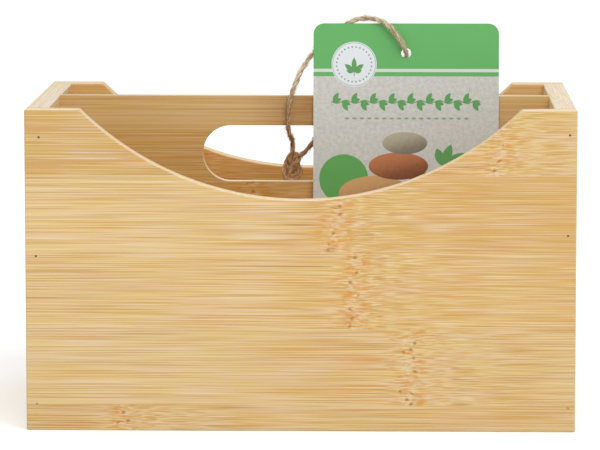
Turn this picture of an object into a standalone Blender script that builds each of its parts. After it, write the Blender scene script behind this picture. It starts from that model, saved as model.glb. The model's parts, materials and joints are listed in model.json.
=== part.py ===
"""Bamboo organizer box with a carrying board, four compartments and a hang tag on a loop of twine.

Metres, +Z up. The origin is on the table, under the middle of the box. +X runs to the right along the
scooped front, and +Y runs from the front to the back.
"""

import math

import bmesh
import bpy
from mathutils import Vector

# The box outside
BOX_WIDTH = 0.250
BOX_DEPTH = 0.150
BOX_HEIGHT = 0.147

# The boards
PANEL_THICKNESS = 0.010
END_THICKNESS = 0.010
CENTRE_THICKNESS = 0.006
CROSS_THICKNESS = 0.006
CROSS_TOP = 0.088
JOINT_GAP = 0.0003
EDGE_EASE = 0.0008
EASE_STEPS = 2
SHARP_ANGLE = math.radians(40)

# The floor board, held in a groove that runs round the four walls
FLOOR_THICKNESS = 0.005
FLOOR_LIFT = 0.004
GROOVE_DEPTH = 0.004

# The scoop in the front and back panels, a shallow arc of a circle
SCOOP_WIDTH = 0.200
SCOOP_DEPTH = 0.041
SCOOP_STEPS = 32

# The handle slot in the centre board, with full-round ends
SLOT_LENGTH = 0.0954
SLOT_HEIGHT = 0.0265
HANDLE_BAR = 0.014
SLOT_EASE = 0.0014
SLOT_END_STEPS = 12

# The halving joint, where the cross divider and the centre board pass through each other
HALVING_SHARE = 0.5

# The brads that nail the panels to the ends, and the ends to the centre board
BRAD_LENGTH = 0.022
BRAD_RADIUS = 0.0005
BRAD_HEAD_RADIUS = 0.0007
BRAD_HEAD = 0.0006
BRAD_POINT = 0.0015
BRAD_SET = 0.0004
BRAD_FIT = 0.0003
BRAD_SIDES = 8
CUT_OVERRUN = 0.002
CORNER_BRAD_HEIGHT_SHARES = {"left": (0.083, 0.545, 0.914), "right": (0.076, 0.613, 0.924)}
CORNER_BRAD_INSET_SHARES = {"left": (0.49, 0.49, 0.66), "right": (0.34, 0.39, 0.34)}
CENTRE_BRAD_HEIGHT_SHARES = (0.20, 0.56, 0.94)
BRAD_LEVELS = ("low", "middle", "high")

# The hang tag, which stands on the floor board and leans on the centre board
TAG_WIDTH = 0.087
TAG_HEIGHT = 0.172
TAG_THICKNESS = 0.0006
TAG_CORNER = 0.005
TAG_CORNER_STEPS = 6
TAG_HOLE_RADIUS = 0.0023
TAG_HOLE_DROP = 0.0139
TAG_HOLE_STEPS = 24
TAG_SIDE_GAP = 0.0014
TAG_FOOT_OUT = 0.008

# The jute twine, from the knot up in front of the handle bar, behind the tag, over its top and through
# its hole, then over the bar and down behind it to the knot again
TWINE_DIAMETER = 0.002
TWINE_SPACING = 0.004
CURVE_SAMPLES = 24
TWINE_ROUTE = [
    (-0.0058, 0.0070, 0.1196),
    (-0.0056, 0.0066, 0.1222),
    (-0.0059, 0.0032, 0.1256),
    (-0.0066, -0.0010, 0.1278),
    (-0.0072, -0.0040, 0.1306),
    (-0.0075, -0.0049, 0.1344),
    (-0.0074, -0.0047, 0.1382),
    (-0.0071, -0.0046, 0.1420),
    (-0.0064, -0.0044, 0.1458),
    (-0.0050, -0.0035, 0.1500),
    (-0.0033, -0.0020, 0.1543),
    (-0.0010, -0.0005, 0.1592),
    (0.0026, 0.0004, 0.1648),
    (0.0085, 0.0009, 0.1714),
    (0.0155, 0.0010, 0.1774),
    (0.0223, 0.0005, 0.1818),
    (0.0268, -0.0005, 0.1832),
    (0.0314, -0.0019, 0.1833),
    (0.0366, -0.0035, 0.1820),
    (0.0408, -0.0045, 0.1790),
    (0.0443, -0.0050, 0.1744),
    (0.0467, -0.0048, 0.1702),
    (0.0479, -0.0027, 0.1672),
    (0.0478, -0.0002, 0.1650),
    (0.0458, 0.0018, 0.1614),
    (0.0418, 0.0026, 0.1576),
    (0.0360, 0.0028, 0.1542),
    (0.0290, 0.0032, 0.1516),
    (0.0222, 0.0045, 0.1482),
    (0.0160, 0.0054, 0.1428),
    (0.0112, 0.0056, 0.1362),
    (0.0074, 0.0058, 0.1296),
    (0.0040, 0.0062, 0.1240),
    (0.0012, 0.0066, 0.1206),
    (-0.0008, 0.0069, 0.1186),
    (-0.0024, 0.0070, 0.1174),
]

# The overhand knot, an egg-shaped lump under both ends of the twine
KNOT_WIDTH = 0.0082
KNOT_DEPTH = 0.0070
KNOT_HEIGHT = 0.0146
KNOT_SEGMENTS = 16
KNOT_RINGS = 10

INNER_HALF_WIDTH = BOX_WIDTH / 2 - END_THICKNESS
INNER_HALF_DEPTH = BOX_DEPTH / 2 - PANEL_THICKNESS
FLOOR_TOP = FLOOR_LIFT + FLOOR_THICKNESS
SLOT_CENTRE = BOX_HEIGHT - HANDLE_BAR - SLOT_HEIGHT / 2
SCOOP_RADIUS = (SCOOP_WIDTH**2 / 4 + SCOOP_DEPTH**2) / (2 * SCOOP_DEPTH)
HALVING_HEIGHT = FLOOR_TOP + (CROSS_TOP - FLOOR_TOP) * HALVING_SHARE


def clear_scene():
    for found in list(bpy.data.objects):
        bpy.data.objects.remove(found, do_unlink=True)


def new_collection(name):
    made = bpy.data.collections.new(name)
    bpy.context.scene.collection.children.link(made)
    return made


def new_material(name, colour, roughness, metallic=0.0):
    made = bpy.data.materials.new(name)
    made.use_nodes = True
    shader = made.node_tree.nodes["Principled BSDF"]
    shader.inputs["Base Color"].default_value = (*colour, 1.0)
    shader.inputs["Roughness"].default_value = roughness
    shader.inputs["Metallic"].default_value = metallic
    made.diffuse_color = (*colour, 1.0)
    return made


def add_object(name, data, collection, material=None):
    made = bpy.data.objects.new(name, data)
    collection.objects.link(made)
    if material is not None:
        data.materials.clear()
        data.materials.append(material)
    return made


def arc_points(centre, radius, start, end, steps):
    """The points along an arc, from angle start to angle end, both ends among them."""
    angles = [start + (end - start) * step / steps for step in range(steps + 1)]
    return [(centre[0] + radius * math.cos(a), centre[1] + radius * math.sin(a)) for a in angles]


def rectangle_points(low_x, low_y, high_x, high_y):
    return [(low_x, low_y), (high_x, low_y), (high_x, high_y), (low_x, high_y)]


def flat_board(name, outlines, thickness, place, tilt, collection, material):
    """A board cut to outlines, the first round it and the rest holes in it, as a mesh with plain faces.

    The outlines' first axis is +X. Their second axis stands up at the angle tilt from +Y.
    """
    curve = bpy.data.curves.new(name, "CURVE")
    curve.dimensions = "2D"
    curve.fill_mode = "BOTH"
    curve.extrude = thickness / 2
    for outline in outlines:
        spline = curve.splines.new("POLY")
        spline.points.add(len(outline) - 1)
        for point, (x, y) in zip(spline.points, outline):
            point.co = (x, y, 0.0, 1.0)
        spline.use_cyclic_u = True
    guide = add_object(name + "_outline", curve, collection)
    guide.location = place
    guide.rotation_euler = tilt
    bpy.context.view_layer.update()
    graph = bpy.context.evaluated_depsgraph_get()
    mesh = bpy.data.meshes.new_from_object(guide.evaluated_get(graph))
    mesh.name = name
    board = add_object(name, mesh, collection, material)
    board.matrix_world = guide.matrix_world.copy()
    bpy.data.objects.remove(guide, do_unlink=True)
    shape = bmesh.new()
    shape.from_mesh(mesh)
    bmesh.ops.remove_doubles(shape, verts=shape.verts, dist=JOINT_GAP / 10)
    bmesh.ops.dissolve_limit(
        shape, angle_limit=math.radians(1), verts=shape.verts, edges=shape.edges
    )
    bmesh.ops.recalc_face_normals(shape, faces=shape.faces)
    shape.to_mesh(mesh)
    shape.free()
    return board


def upright_board(name, outlines, thickness, place, turn, collection, material):
    """A board that stands up, its outline seen from the front, then turned about +Z."""
    return flat_board(name, outlines, thickness, place, (math.pi / 2, 0.0, turn), collection, material)


def box_mesh(name, low, high):
    """A box between two corners, in world places."""
    low, high = Vector(low), Vector(high)
    shape = bmesh.new()
    bmesh.ops.create_cube(shape, size=1.0)
    bmesh.ops.scale(shape, vec=high - low, verts=shape.verts)
    bmesh.ops.translate(shape, vec=(low + high) / 2, verts=shape.verts)
    mesh = bpy.data.meshes.new(name)
    shape.to_mesh(mesh)
    shape.free()
    return mesh


def ease_edges(board, radius_at):
    """Rounds over a board's sharp edges. radius_at gives each one's radius from its midpoint, or zero."""
    shape = bmesh.new()
    shape.from_mesh(board.data)
    weight = shape.edges.layers.float.new("bevel_weight_edge")
    radii = {}
    for edge in shape.edges:
        middle = board.matrix_world @ ((edge.verts[0].co + edge.verts[1].co) / 2)
        if edge.calc_face_angle(0.0) > SHARP_ANGLE:
            radii[edge] = radius_at(middle)
    widest = max(radii.values())
    for edge, radius in radii.items():
        edge[weight] = radius / widest
    shape.to_mesh(board.data)
    shape.free()
    bevel = board.modifiers.new("eased_edges", "BEVEL")
    bevel.limit_method = "WEIGHT"
    bevel.width = widest
    bevel.segments = EASE_STEPS


def make_cutter(name, mesh, cutters):
    cutter = add_object(name, mesh, cutters)
    cutter.hide_render = True
    cutter.display_type = "WIRE"
    return cutter


def cut(board, cutter):
    boolean = board.modifiers.new(cutter.name, "BOOLEAN")
    boolean.operation = "DIFFERENCE"
    boolean.solver = "EXACT"
    boolean.object = cutter


def scooped_outline():
    """A panel seen from the front, its top edge sunk in the middle by an arc of a circle."""
    centre = (0.0, BOX_HEIGHT - SCOOP_DEPTH + SCOOP_RADIUS)
    half_angle = math.asin(SCOOP_WIDTH / 2 / SCOOP_RADIUS)
    down = -math.pi / 2
    scoop = arc_points(centre, SCOOP_RADIUS, down + half_angle, down - half_angle, SCOOP_STEPS)
    half = BOX_WIDTH / 2
    return [(-half, 0.0), (half, 0.0), (half, BOX_HEIGHT), *scoop, (-half, BOX_HEIGHT)]


def scooped_panel(name, side, collection, material):
    """The front panel (side -1) or the back panel (side 1)."""
    outer = side * BOX_DEPTH / 2
    place = (0.0, outer - side * PANEL_THICKNESS / 2, 0.0)
    panel = upright_board(name, [scooped_outline()], PANEL_THICKNESS, place, 0.0, collection, material)

    def radius_at(middle):
        on_outer_face = abs(middle.y - outer) < JOINT_GAP
        on_top = middle.z > BOX_HEIGHT - SCOOP_DEPTH - JOINT_GAP
        inside_ends = abs(middle.x) < INNER_HALF_WIDTH
        return EDGE_EASE if on_outer_face or on_top and inside_ends else 0.0

    ease_edges(panel, radius_at)
    return panel


def end_panel(name, side, collection, material):
    """The left end (side -1) or the right end (side 1), between the front and back panels."""
    outer, inner = side * BOX_WIDTH / 2, side * INNER_HALF_WIDTH
    half_depth = INNER_HALF_DEPTH - JOINT_GAP
    low = (min(outer, inner), -half_depth, 0.0)
    high = (max(outer, inner), half_depth, BOX_HEIGHT)
    panel = add_object(name, box_mesh(name, low, high), collection, material)

    def radius_at(middle):
        lengthwise = abs(middle.y) < JOINT_GAP
        at_top = middle.z > BOX_HEIGHT - JOINT_GAP
        at_outer_foot = middle.z < JOINT_GAP and abs(middle.x - outer) < JOINT_GAP
        return EDGE_EASE if lengthwise and (at_top or at_outer_foot) else 0.0

    ease_edges(panel, radius_at)
    return panel


def floor_board(collection, material):
    reach_x = INNER_HALF_WIDTH + GROOVE_DEPTH - JOINT_GAP
    reach_y = INNER_HALF_DEPTH + GROOVE_DEPTH - JOINT_GAP
    low, high = (-reach_x, -reach_y, FLOOR_LIFT), (reach_x, reach_y, FLOOR_TOP)
    return add_object("floor_board", box_mesh("floor_board", low, high), collection, material)


def groove_cutter(cutters):
    """The floor board with its clearance all round, which cuts the groove in each wall."""
    reach_x, reach_y = INNER_HALF_WIDTH + GROOVE_DEPTH, INNER_HALF_DEPTH + GROOVE_DEPTH
    low = (-reach_x, -reach_y, FLOOR_LIFT - JOINT_GAP)
    high = (reach_x, reach_y, FLOOR_TOP + JOINT_GAP)
    return make_cutter("floor_groove", box_mesh("floor_groove", low, high), cutters)


def halving_notch(half_width, mouth, end):
    """The three sides of a notch as outline points, from one side of its mouth round to the other."""
    return [(half_width, mouth), (half_width, end), (-half_width, end), (-half_width, mouth)]


def slot_outline():
    """The handle slot, a rectangle with half-circle ends."""
    radius = SLOT_HEIGHT / 2
    reach = SLOT_LENGTH / 2 - radius
    quarter = math.pi / 2
    right = arc_points((reach, SLOT_CENTRE), radius, -quarter, quarter, SLOT_END_STEPS)
    left = arc_points((-reach, SLOT_CENTRE), radius, quarter, 3 * quarter, SLOT_END_STEPS)
    return right + left


def centre_board(collection, material):
    """The board along the middle, with the handle slot above and half of the halving joint below."""
    half = INNER_HALF_WIDTH - JOINT_GAP
    foot = FLOOR_TOP + JOINT_GAP
    notch = halving_notch(CROSS_THICKNESS / 2 + JOINT_GAP, foot, HALVING_HEIGHT + JOINT_GAP / 2)
    outline = [*reversed(notch), (half, foot), (half, BOX_HEIGHT), (-half, BOX_HEIGHT), (-half, foot)]
    board = upright_board(
        "centre_board",
        [outline, slot_outline()],
        CENTRE_THICKNESS,
        (0.0, 0.0, 0.0),
        0.0,
        collection,
        material,
    )

    def radius_at(middle):
        in_slot_reach = abs(middle.x) < SLOT_LENGTH / 2 + JOINT_GAP
        in_slot_height = abs(middle.z - SLOT_CENTRE) < SLOT_HEIGHT / 2 + JOINT_GAP
        if in_slot_reach and in_slot_height:
            return SLOT_EASE
        on_top = middle.z > BOX_HEIGHT - JOINT_GAP
        return EDGE_EASE if on_top and abs(middle.x) < INNER_HALF_WIDTH / 2 else 0.0

    ease_edges(board, radius_at)
    return board


def cross_divider(collection, material):
    """The low board from front to back, with half of the halving joint above."""
    half = INNER_HALF_DEPTH - JOINT_GAP
    foot = FLOOR_TOP + JOINT_GAP
    notch = halving_notch(CENTRE_THICKNESS / 2 + JOINT_GAP, CROSS_TOP, HALVING_HEIGHT - JOINT_GAP / 2)
    outline = [(-half, foot), (half, foot), (half, CROSS_TOP), *notch, (-half, CROSS_TOP)]
    board = upright_board(
        "cross_divider",
        [outline],
        CROSS_THICKNESS,
        (0.0, 0.0, 0.0),
        math.pi / 2,
        collection,
        material,
    )

    def radius_at(middle):
        clear_of_walls = CENTRE_THICKNESS < abs(middle.y) < INNER_HALF_DEPTH - PANEL_THICKNESS
        return EDGE_EASE if middle.z > CROSS_TOP - JOINT_GAP and clear_of_walls else 0.0

    ease_edges(board, radius_at)
    return board


def brad_mesh():
    """One turned brad. Its head is just under the surface at the origin, and it points along -Z."""
    profile = [
        (0.0, -BRAD_SET),
        (BRAD_HEAD_RADIUS, -BRAD_SET),
        (BRAD_HEAD_RADIUS, -BRAD_SET - BRAD_HEAD),
        (BRAD_RADIUS, -BRAD_SET - BRAD_HEAD),
        (BRAD_RADIUS, -BRAD_SET - BRAD_LENGTH + BRAD_POINT),
        (0.0, -BRAD_SET - BRAD_LENGTH),
    ]
    mesh = bpy.data.meshes.new("brad")
    edges = [(index, index + 1) for index in range(len(profile) - 1)]
    mesh.from_pydata([(x, 0.0, z) for x, z in profile], edges, [])
    return mesh


def brad_hole_mesh():
    """The hole for one brad, from outside the surface to past the brad's point."""
    depth = BRAD_SET + BRAD_LENGTH + BRAD_FIT
    shape = bmesh.new()
    bmesh.ops.create_cone(
        shape,
        cap_ends=True,
        segments=BRAD_SIDES,
        radius1=BRAD_HEAD_RADIUS + BRAD_FIT,
        radius2=BRAD_HEAD_RADIUS + BRAD_FIT,
        depth=depth + CUT_OVERRUN,
    )
    bmesh.ops.translate(shape, vec=(0.0, 0.0, (CUT_OVERRUN - depth) / 2), verts=shape.verts)
    mesh = bpy.data.meshes.new("brad_hole")
    shape.to_mesh(mesh)
    shape.free()
    return mesh


def drive_brad(name, place, outward, boards, meshes, collection, cutters):
    """One brad at a place on the surface, and its hole through the boards that it joins."""
    turn = Vector(outward).to_track_quat("Z", "Y").to_euler()
    brad = add_object(name, meshes["brad"], collection)
    brad.location = place
    brad.rotation_euler = turn
    screw = brad.modifiers.new("turned", "SCREW")
    screw.angle = 2 * math.pi
    screw.steps = BRAD_SIDES
    screw.render_steps = BRAD_SIDES
    screw.use_merge_vertices = True
    screw.merge_threshold = 0.00001
    screw.use_smooth_shade = True
    hole = make_cutter(name + "_hole", meshes["hole"], cutters)
    hole.location = place
    hole.rotation_euler = turn
    for board in boards:
        cut(board, hole)


def corner_brads(panels, ends, meshes, collection, cutters):
    """Three brads down each corner, through the front and back panels into the ends' edges."""
    for face, panel in panels.items():
        facing = -1 if face == "front" else 1
        for end, board in ends.items():
            side = -1 if end == "left" else 1
            rows = zip(BRAD_LEVELS, CORNER_BRAD_HEIGHT_SHARES[end], CORNER_BRAD_INSET_SHARES[end])
            for level, height_share, inset_share in rows:
                x = side * (BOX_WIDTH / 2 - END_THICKNESS * inset_share)
                place = (x, facing * BOX_DEPTH / 2, BOX_HEIGHT * height_share)
                name = f"brad_{face}_{end}_{level}"
                outward = (0.0, facing, 0.0)
                drive_brad(name, place, outward, [panel, board], meshes, collection, cutters)


def centre_brads(ends, board, meshes, collection, cutters):
    """Three brads through each end into the end grain of the centre board."""
    for end, panel in ends.items():
        side = -1 if end == "left" else 1
        for level, height_share in zip(BRAD_LEVELS, CENTRE_BRAD_HEIGHT_SHARES):
            place = (side * BOX_WIDTH / 2, 0.0, BOX_HEIGHT * height_share)
            name = f"brad_centre_{end}_{level}"
            outward = (side, 0.0, 0.0)
            drive_brad(name, place, outward, [panel, board], meshes, collection, cutters)


def tag_outline():
    """The card with rounded corners, from its foot up."""
    half, turn = TAG_WIDTH / 2 - TAG_CORNER, math.pi / 2
    centres = rectangle_points(-half, TAG_CORNER, half, TAG_HEIGHT - TAG_CORNER)
    outline = []
    for index, centre in enumerate(centres):
        start = math.pi + index * turn
        outline += arc_points(centre, TAG_CORNER, start, start + turn, TAG_CORNER_STEPS)
    return outline


def swing_tag(collection, material):
    """The card, its foot on the floor board and its back against the centre board's top edge."""
    foot_z = FLOOR_TOP + JOINT_GAP
    rise = BOX_HEIGHT - foot_z
    lean = math.atan2(TAG_FOOT_OUT, rise) - math.asin(JOINT_GAP / math.hypot(TAG_FOOT_OUT, rise))
    front = Vector((0.0, -math.cos(lean), math.sin(lean)))
    back_foot = Vector(
        (
            CROSS_THICKNESS / 2 + TAG_SIDE_GAP + TAG_WIDTH / 2,
            -CENTRE_THICKNESS / 2 - TAG_FOOT_OUT,
            foot_z,
        )
    )
    turn = 2 * math.pi
    hole_centre = (0.0, TAG_HEIGHT - TAG_HOLE_DROP)
    hole = arc_points(hole_centre, TAG_HOLE_RADIUS, 0.0, turn, TAG_HOLE_STEPS)[:-1]
    print(f"tag leans {math.degrees(lean):.3f} degrees, front foot edge {back_foot + front * TAG_THICKNESS}")
    return flat_board(
        "swing_tag",
        [tag_outline(), hole],
        TAG_THICKNESS,
        back_foot + front * TAG_THICKNESS / 2,
        (math.pi / 2 - lean, 0.0, 0.0),
        collection,
        material,
    )


def smooth_route(route, spacing):
    """Evenly spaced points on the smooth curve through a route's own points."""
    points = [Vector(p) for p in route]
    ends = [2 * points[0] - points[1], *points, 2 * points[-1] - points[-2]]
    fine = []
    for before, start, end, after in zip(ends, ends[1:], ends[2:], ends[3:]):
        for sample in range(CURVE_SAMPLES):
            t = sample / CURVE_SAMPLES
            fine.append(
                (
                    2 * start
                    + (end - before) * t
                    + (2 * before - 5 * start + 4 * end - after) * t**2
                    + (3 * start - before - 3 * end + after) * t**3
                )
                / 2
            )
    fine.append(points[-1])
    reached = [0.0]
    for start, end in zip(fine, fine[1:]):
        reached.append(reached[-1] + (end - start).length)
    count = max(2, round(reached[-1] / spacing))
    even = []
    index = 0
    for step in range(count + 1):
        goal = reached[-1] * step / count
        while index < len(fine) - 2 and reached[index + 1] < goal:
            index += 1
        share = (goal - reached[index]) / (reached[index + 1] - reached[index])
        even.append(fine[index].lerp(fine[index + 1], share))
    return even, reached[-1]


def tag_twine(collection, material):
    points, length = smooth_route(TWINE_ROUTE, TWINE_SPACING)
    curve = bpy.data.curves.new("tag_twine", "CURVE")
    curve.dimensions = "3D"
    curve.bevel_depth = TWINE_DIAMETER / 2
    curve.bevel_resolution = 2
    curve.use_fill_caps = True
    spline = curve.splines.new("POLY")
    spline.points.add(len(points) - 1)
    for target, point in zip(spline.points, points):
        target.co = (*point, 1.0)
    spline.use_smooth = True
    apart = [
        (a - b).length - TWINE_DIAMETER
        for i, a in enumerate(points)
        for b in points[i + 5 :]
    ]
    print(f"twine {length * 1000:.1f} mm long, {len(points)} points, least gap {min(apart) * 1000:.2f} mm")
    return add_object("tag_twine", curve, collection, material)


def twine_knot(collection, material):
    """The knot, its top just under the twine's first end."""
    top = Vector(TWINE_ROUTE[0])
    shape = bmesh.new()
    bmesh.ops.create_uvsphere(shape, u_segments=KNOT_SEGMENTS, v_segments=KNOT_RINGS, radius=1.0)
    half_sizes = Vector((KNOT_WIDTH, KNOT_DEPTH, KNOT_HEIGHT)) / 2
    bmesh.ops.scale(shape, vec=half_sizes, verts=shape.verts)
    mesh = bpy.data.meshes.new("twine_knot")
    shape.to_mesh(mesh)
    shape.free()
    mesh.shade_smooth()
    knot = add_object("twine_knot", mesh, collection, material)
    knot.location = top - Vector((0.0, 0.0, KNOT_HEIGHT / 2 + JOINT_GAP))
    return knot


def main():
    clear_scene()
    parts = new_collection("bamboo_organizer_box")
    cutters = new_collection("cutters")
    wall_bamboo = new_material("bamboo_walls", (0.72, 0.50, 0.24), 0.45)
    inner_bamboo = new_material("bamboo_dividers", (0.60, 0.36, 0.15), 0.5)
    steel = new_material("brad_steel", (0.16, 0.13, 0.11), 0.4, 1.0)
    card = new_material("tag_card", (0.55, 0.54, 0.50), 0.6)
    jute = new_material("jute_twine", (0.50, 0.34, 0.19), 0.9)

    panels = {
        "front": scooped_panel("front_panel", -1, parts, wall_bamboo),
        "back": scooped_panel("back_panel", 1, parts, wall_bamboo),
    }
    ends = {
        "left": end_panel("left_end_panel", -1, parts, wall_bamboo),
        "right": end_panel("right_end_panel", 1, parts, wall_bamboo),
    }
    floor_board(parts, inner_bamboo)
    middle = centre_board(parts, inner_bamboo)
    cross_divider(parts, inner_bamboo)

    groove = groove_cutter(cutters)
    for board in [*panels.values(), *ends.values()]:
        cut(board, groove)
    meshes = {"brad": brad_mesh(), "hole": brad_hole_mesh()}
    meshes["brad"].materials.append(steel)
    corner_brads(panels, ends, meshes, parts, cutters)
    centre_brads(ends, middle, meshes, parts, cutters)

    swing_tag(parts, card)
    tag_twine(parts, jute)
    twine_knot(parts, jute)


main()
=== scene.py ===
"""Bamboo organizer box with a carrying board, four compartments, brads and a hang tag on jute twine.

Laid out as an add-on and run as a script. Metres, +Z up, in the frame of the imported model: +X runs to
the right along the scooped front, and +Y runs from the front to the back.
"""

import json
import math
import random
from dataclasses import dataclass, field

import bmesh
import bpy
import numpy as np
from bpy.props import FloatProperty, FloatVectorProperty, IntProperty, PointerProperty
from mathutils import Matrix, Vector
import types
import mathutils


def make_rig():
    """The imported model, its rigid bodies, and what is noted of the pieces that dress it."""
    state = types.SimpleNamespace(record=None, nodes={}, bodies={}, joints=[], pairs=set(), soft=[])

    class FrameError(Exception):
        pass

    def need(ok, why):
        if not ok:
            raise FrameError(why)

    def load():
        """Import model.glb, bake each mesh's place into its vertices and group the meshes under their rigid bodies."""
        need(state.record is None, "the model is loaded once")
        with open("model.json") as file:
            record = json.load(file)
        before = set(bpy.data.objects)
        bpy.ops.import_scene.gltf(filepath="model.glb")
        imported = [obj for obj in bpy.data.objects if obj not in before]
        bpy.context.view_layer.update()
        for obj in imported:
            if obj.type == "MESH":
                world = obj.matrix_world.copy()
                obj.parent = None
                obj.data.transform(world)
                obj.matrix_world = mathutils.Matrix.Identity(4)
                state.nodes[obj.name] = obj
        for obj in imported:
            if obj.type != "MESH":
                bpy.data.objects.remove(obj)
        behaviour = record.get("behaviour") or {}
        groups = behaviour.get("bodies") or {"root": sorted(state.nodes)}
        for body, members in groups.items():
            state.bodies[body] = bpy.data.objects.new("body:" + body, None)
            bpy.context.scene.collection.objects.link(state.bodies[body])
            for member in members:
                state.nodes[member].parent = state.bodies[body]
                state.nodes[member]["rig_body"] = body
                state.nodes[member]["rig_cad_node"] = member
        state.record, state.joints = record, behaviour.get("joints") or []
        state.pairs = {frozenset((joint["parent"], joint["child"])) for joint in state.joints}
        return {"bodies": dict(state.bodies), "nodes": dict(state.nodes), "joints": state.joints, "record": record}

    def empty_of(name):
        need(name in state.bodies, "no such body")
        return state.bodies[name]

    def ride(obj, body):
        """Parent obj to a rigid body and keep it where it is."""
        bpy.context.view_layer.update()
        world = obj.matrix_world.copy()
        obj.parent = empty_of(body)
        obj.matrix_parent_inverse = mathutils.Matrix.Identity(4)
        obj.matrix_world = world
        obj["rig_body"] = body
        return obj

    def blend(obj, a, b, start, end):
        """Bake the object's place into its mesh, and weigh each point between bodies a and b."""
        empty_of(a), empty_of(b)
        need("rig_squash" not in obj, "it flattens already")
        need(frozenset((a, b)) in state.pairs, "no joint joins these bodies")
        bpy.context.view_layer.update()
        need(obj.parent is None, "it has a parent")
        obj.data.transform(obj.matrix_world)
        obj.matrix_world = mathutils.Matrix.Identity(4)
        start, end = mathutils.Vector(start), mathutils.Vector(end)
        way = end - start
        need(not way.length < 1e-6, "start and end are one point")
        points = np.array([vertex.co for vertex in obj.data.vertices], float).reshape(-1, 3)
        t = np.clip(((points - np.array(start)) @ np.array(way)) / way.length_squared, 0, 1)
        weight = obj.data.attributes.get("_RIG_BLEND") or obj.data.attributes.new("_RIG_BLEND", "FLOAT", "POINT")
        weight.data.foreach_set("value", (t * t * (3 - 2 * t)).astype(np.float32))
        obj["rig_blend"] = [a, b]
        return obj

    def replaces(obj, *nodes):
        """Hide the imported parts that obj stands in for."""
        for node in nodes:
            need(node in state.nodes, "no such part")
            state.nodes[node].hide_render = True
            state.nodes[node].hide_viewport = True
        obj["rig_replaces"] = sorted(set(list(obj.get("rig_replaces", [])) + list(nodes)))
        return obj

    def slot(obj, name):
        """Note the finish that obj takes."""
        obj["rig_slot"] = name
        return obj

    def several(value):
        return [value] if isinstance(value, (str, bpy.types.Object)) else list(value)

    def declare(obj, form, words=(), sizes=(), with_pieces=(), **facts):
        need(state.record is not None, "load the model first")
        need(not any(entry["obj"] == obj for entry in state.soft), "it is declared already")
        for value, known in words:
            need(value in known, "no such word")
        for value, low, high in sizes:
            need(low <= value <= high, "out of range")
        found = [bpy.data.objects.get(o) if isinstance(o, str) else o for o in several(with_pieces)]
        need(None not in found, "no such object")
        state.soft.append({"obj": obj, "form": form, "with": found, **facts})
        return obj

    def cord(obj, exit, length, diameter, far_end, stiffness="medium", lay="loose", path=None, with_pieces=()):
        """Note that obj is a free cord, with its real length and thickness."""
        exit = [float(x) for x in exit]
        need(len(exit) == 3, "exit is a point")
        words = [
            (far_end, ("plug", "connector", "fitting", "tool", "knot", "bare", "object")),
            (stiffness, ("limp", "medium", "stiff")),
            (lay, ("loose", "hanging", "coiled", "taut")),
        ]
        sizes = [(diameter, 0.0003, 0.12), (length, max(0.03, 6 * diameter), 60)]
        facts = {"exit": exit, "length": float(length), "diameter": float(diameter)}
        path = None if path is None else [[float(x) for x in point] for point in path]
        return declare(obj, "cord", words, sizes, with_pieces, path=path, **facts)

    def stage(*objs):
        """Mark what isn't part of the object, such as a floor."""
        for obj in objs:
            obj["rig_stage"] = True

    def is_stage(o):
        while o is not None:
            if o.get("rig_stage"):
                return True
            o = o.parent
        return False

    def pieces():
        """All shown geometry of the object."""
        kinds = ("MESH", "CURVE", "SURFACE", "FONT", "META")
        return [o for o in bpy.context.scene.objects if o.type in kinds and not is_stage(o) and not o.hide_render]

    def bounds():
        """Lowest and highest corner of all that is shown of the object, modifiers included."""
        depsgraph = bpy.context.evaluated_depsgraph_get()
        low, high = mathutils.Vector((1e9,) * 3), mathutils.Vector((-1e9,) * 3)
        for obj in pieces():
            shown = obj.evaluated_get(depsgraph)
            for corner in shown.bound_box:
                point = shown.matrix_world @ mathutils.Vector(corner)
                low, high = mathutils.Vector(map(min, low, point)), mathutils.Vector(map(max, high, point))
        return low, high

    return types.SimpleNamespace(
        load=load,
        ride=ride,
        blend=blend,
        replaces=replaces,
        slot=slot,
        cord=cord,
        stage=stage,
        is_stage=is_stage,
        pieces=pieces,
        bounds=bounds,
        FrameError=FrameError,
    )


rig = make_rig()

bl_info = {
    "name": "Bamboo Organizer Box",
    "version": (1, 0, 0),
    "blender": (4, 5, 0),
    "location": "3D Viewport > Sidebar > Organizer",
    "description": "Builds a bamboo organizer box with its hang tag, and the studio round it",
    "category": "Add Mesh",
}

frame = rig.load()
CAD_LOW, CAD_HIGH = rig.bounds()

# The boards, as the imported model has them
BOX_WIDTH = 0.250
BOX_DEPTH = 0.150
BOX_HEIGHT = 0.147
PANEL_THICKNESS = 0.010
END_THICKNESS = 0.010
CENTRE_THICKNESS = 0.006
CROSS_THICKNESS = 0.006
CROSS_TOP = 0.088
FLOOR_THICKNESS = 0.005
FLOOR_LIFT = 0.004
GROOVE_DEPTH = 0.004
SCOOP_WIDTH = 0.200
SCOOP_DEPTH = 0.041
SLOT_LENGTH = 0.0954
SLOT_HEIGHT = 0.0265
HANDLE_BAR = 0.014
HALVING_SHARE = 0.5

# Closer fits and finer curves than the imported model's
GLUE_LINE = 0.00004
EDGE_EASE = 0.0008
SCOOP_EASE = 0.0032
SLOT_EASE = 0.0010
EASE_STEPS = 5
SCOOP_STEPS = 96
SLOT_END_STEPS = 28
TAG_CORNER_STEPS = 16
TAG_HOLE_STEPS = 48
SHARP_ANGLE = math.radians(40)
FLAT_ANGLE = math.radians(0.5)

# A face counts as cut where its normal has less than this share along the board's thickness, and as
# whole end grain where its normal has more than this share along the grain
CUT_FACE_SLOPE = 0.75
END_GRAIN_SLOPE = 0.75

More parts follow.
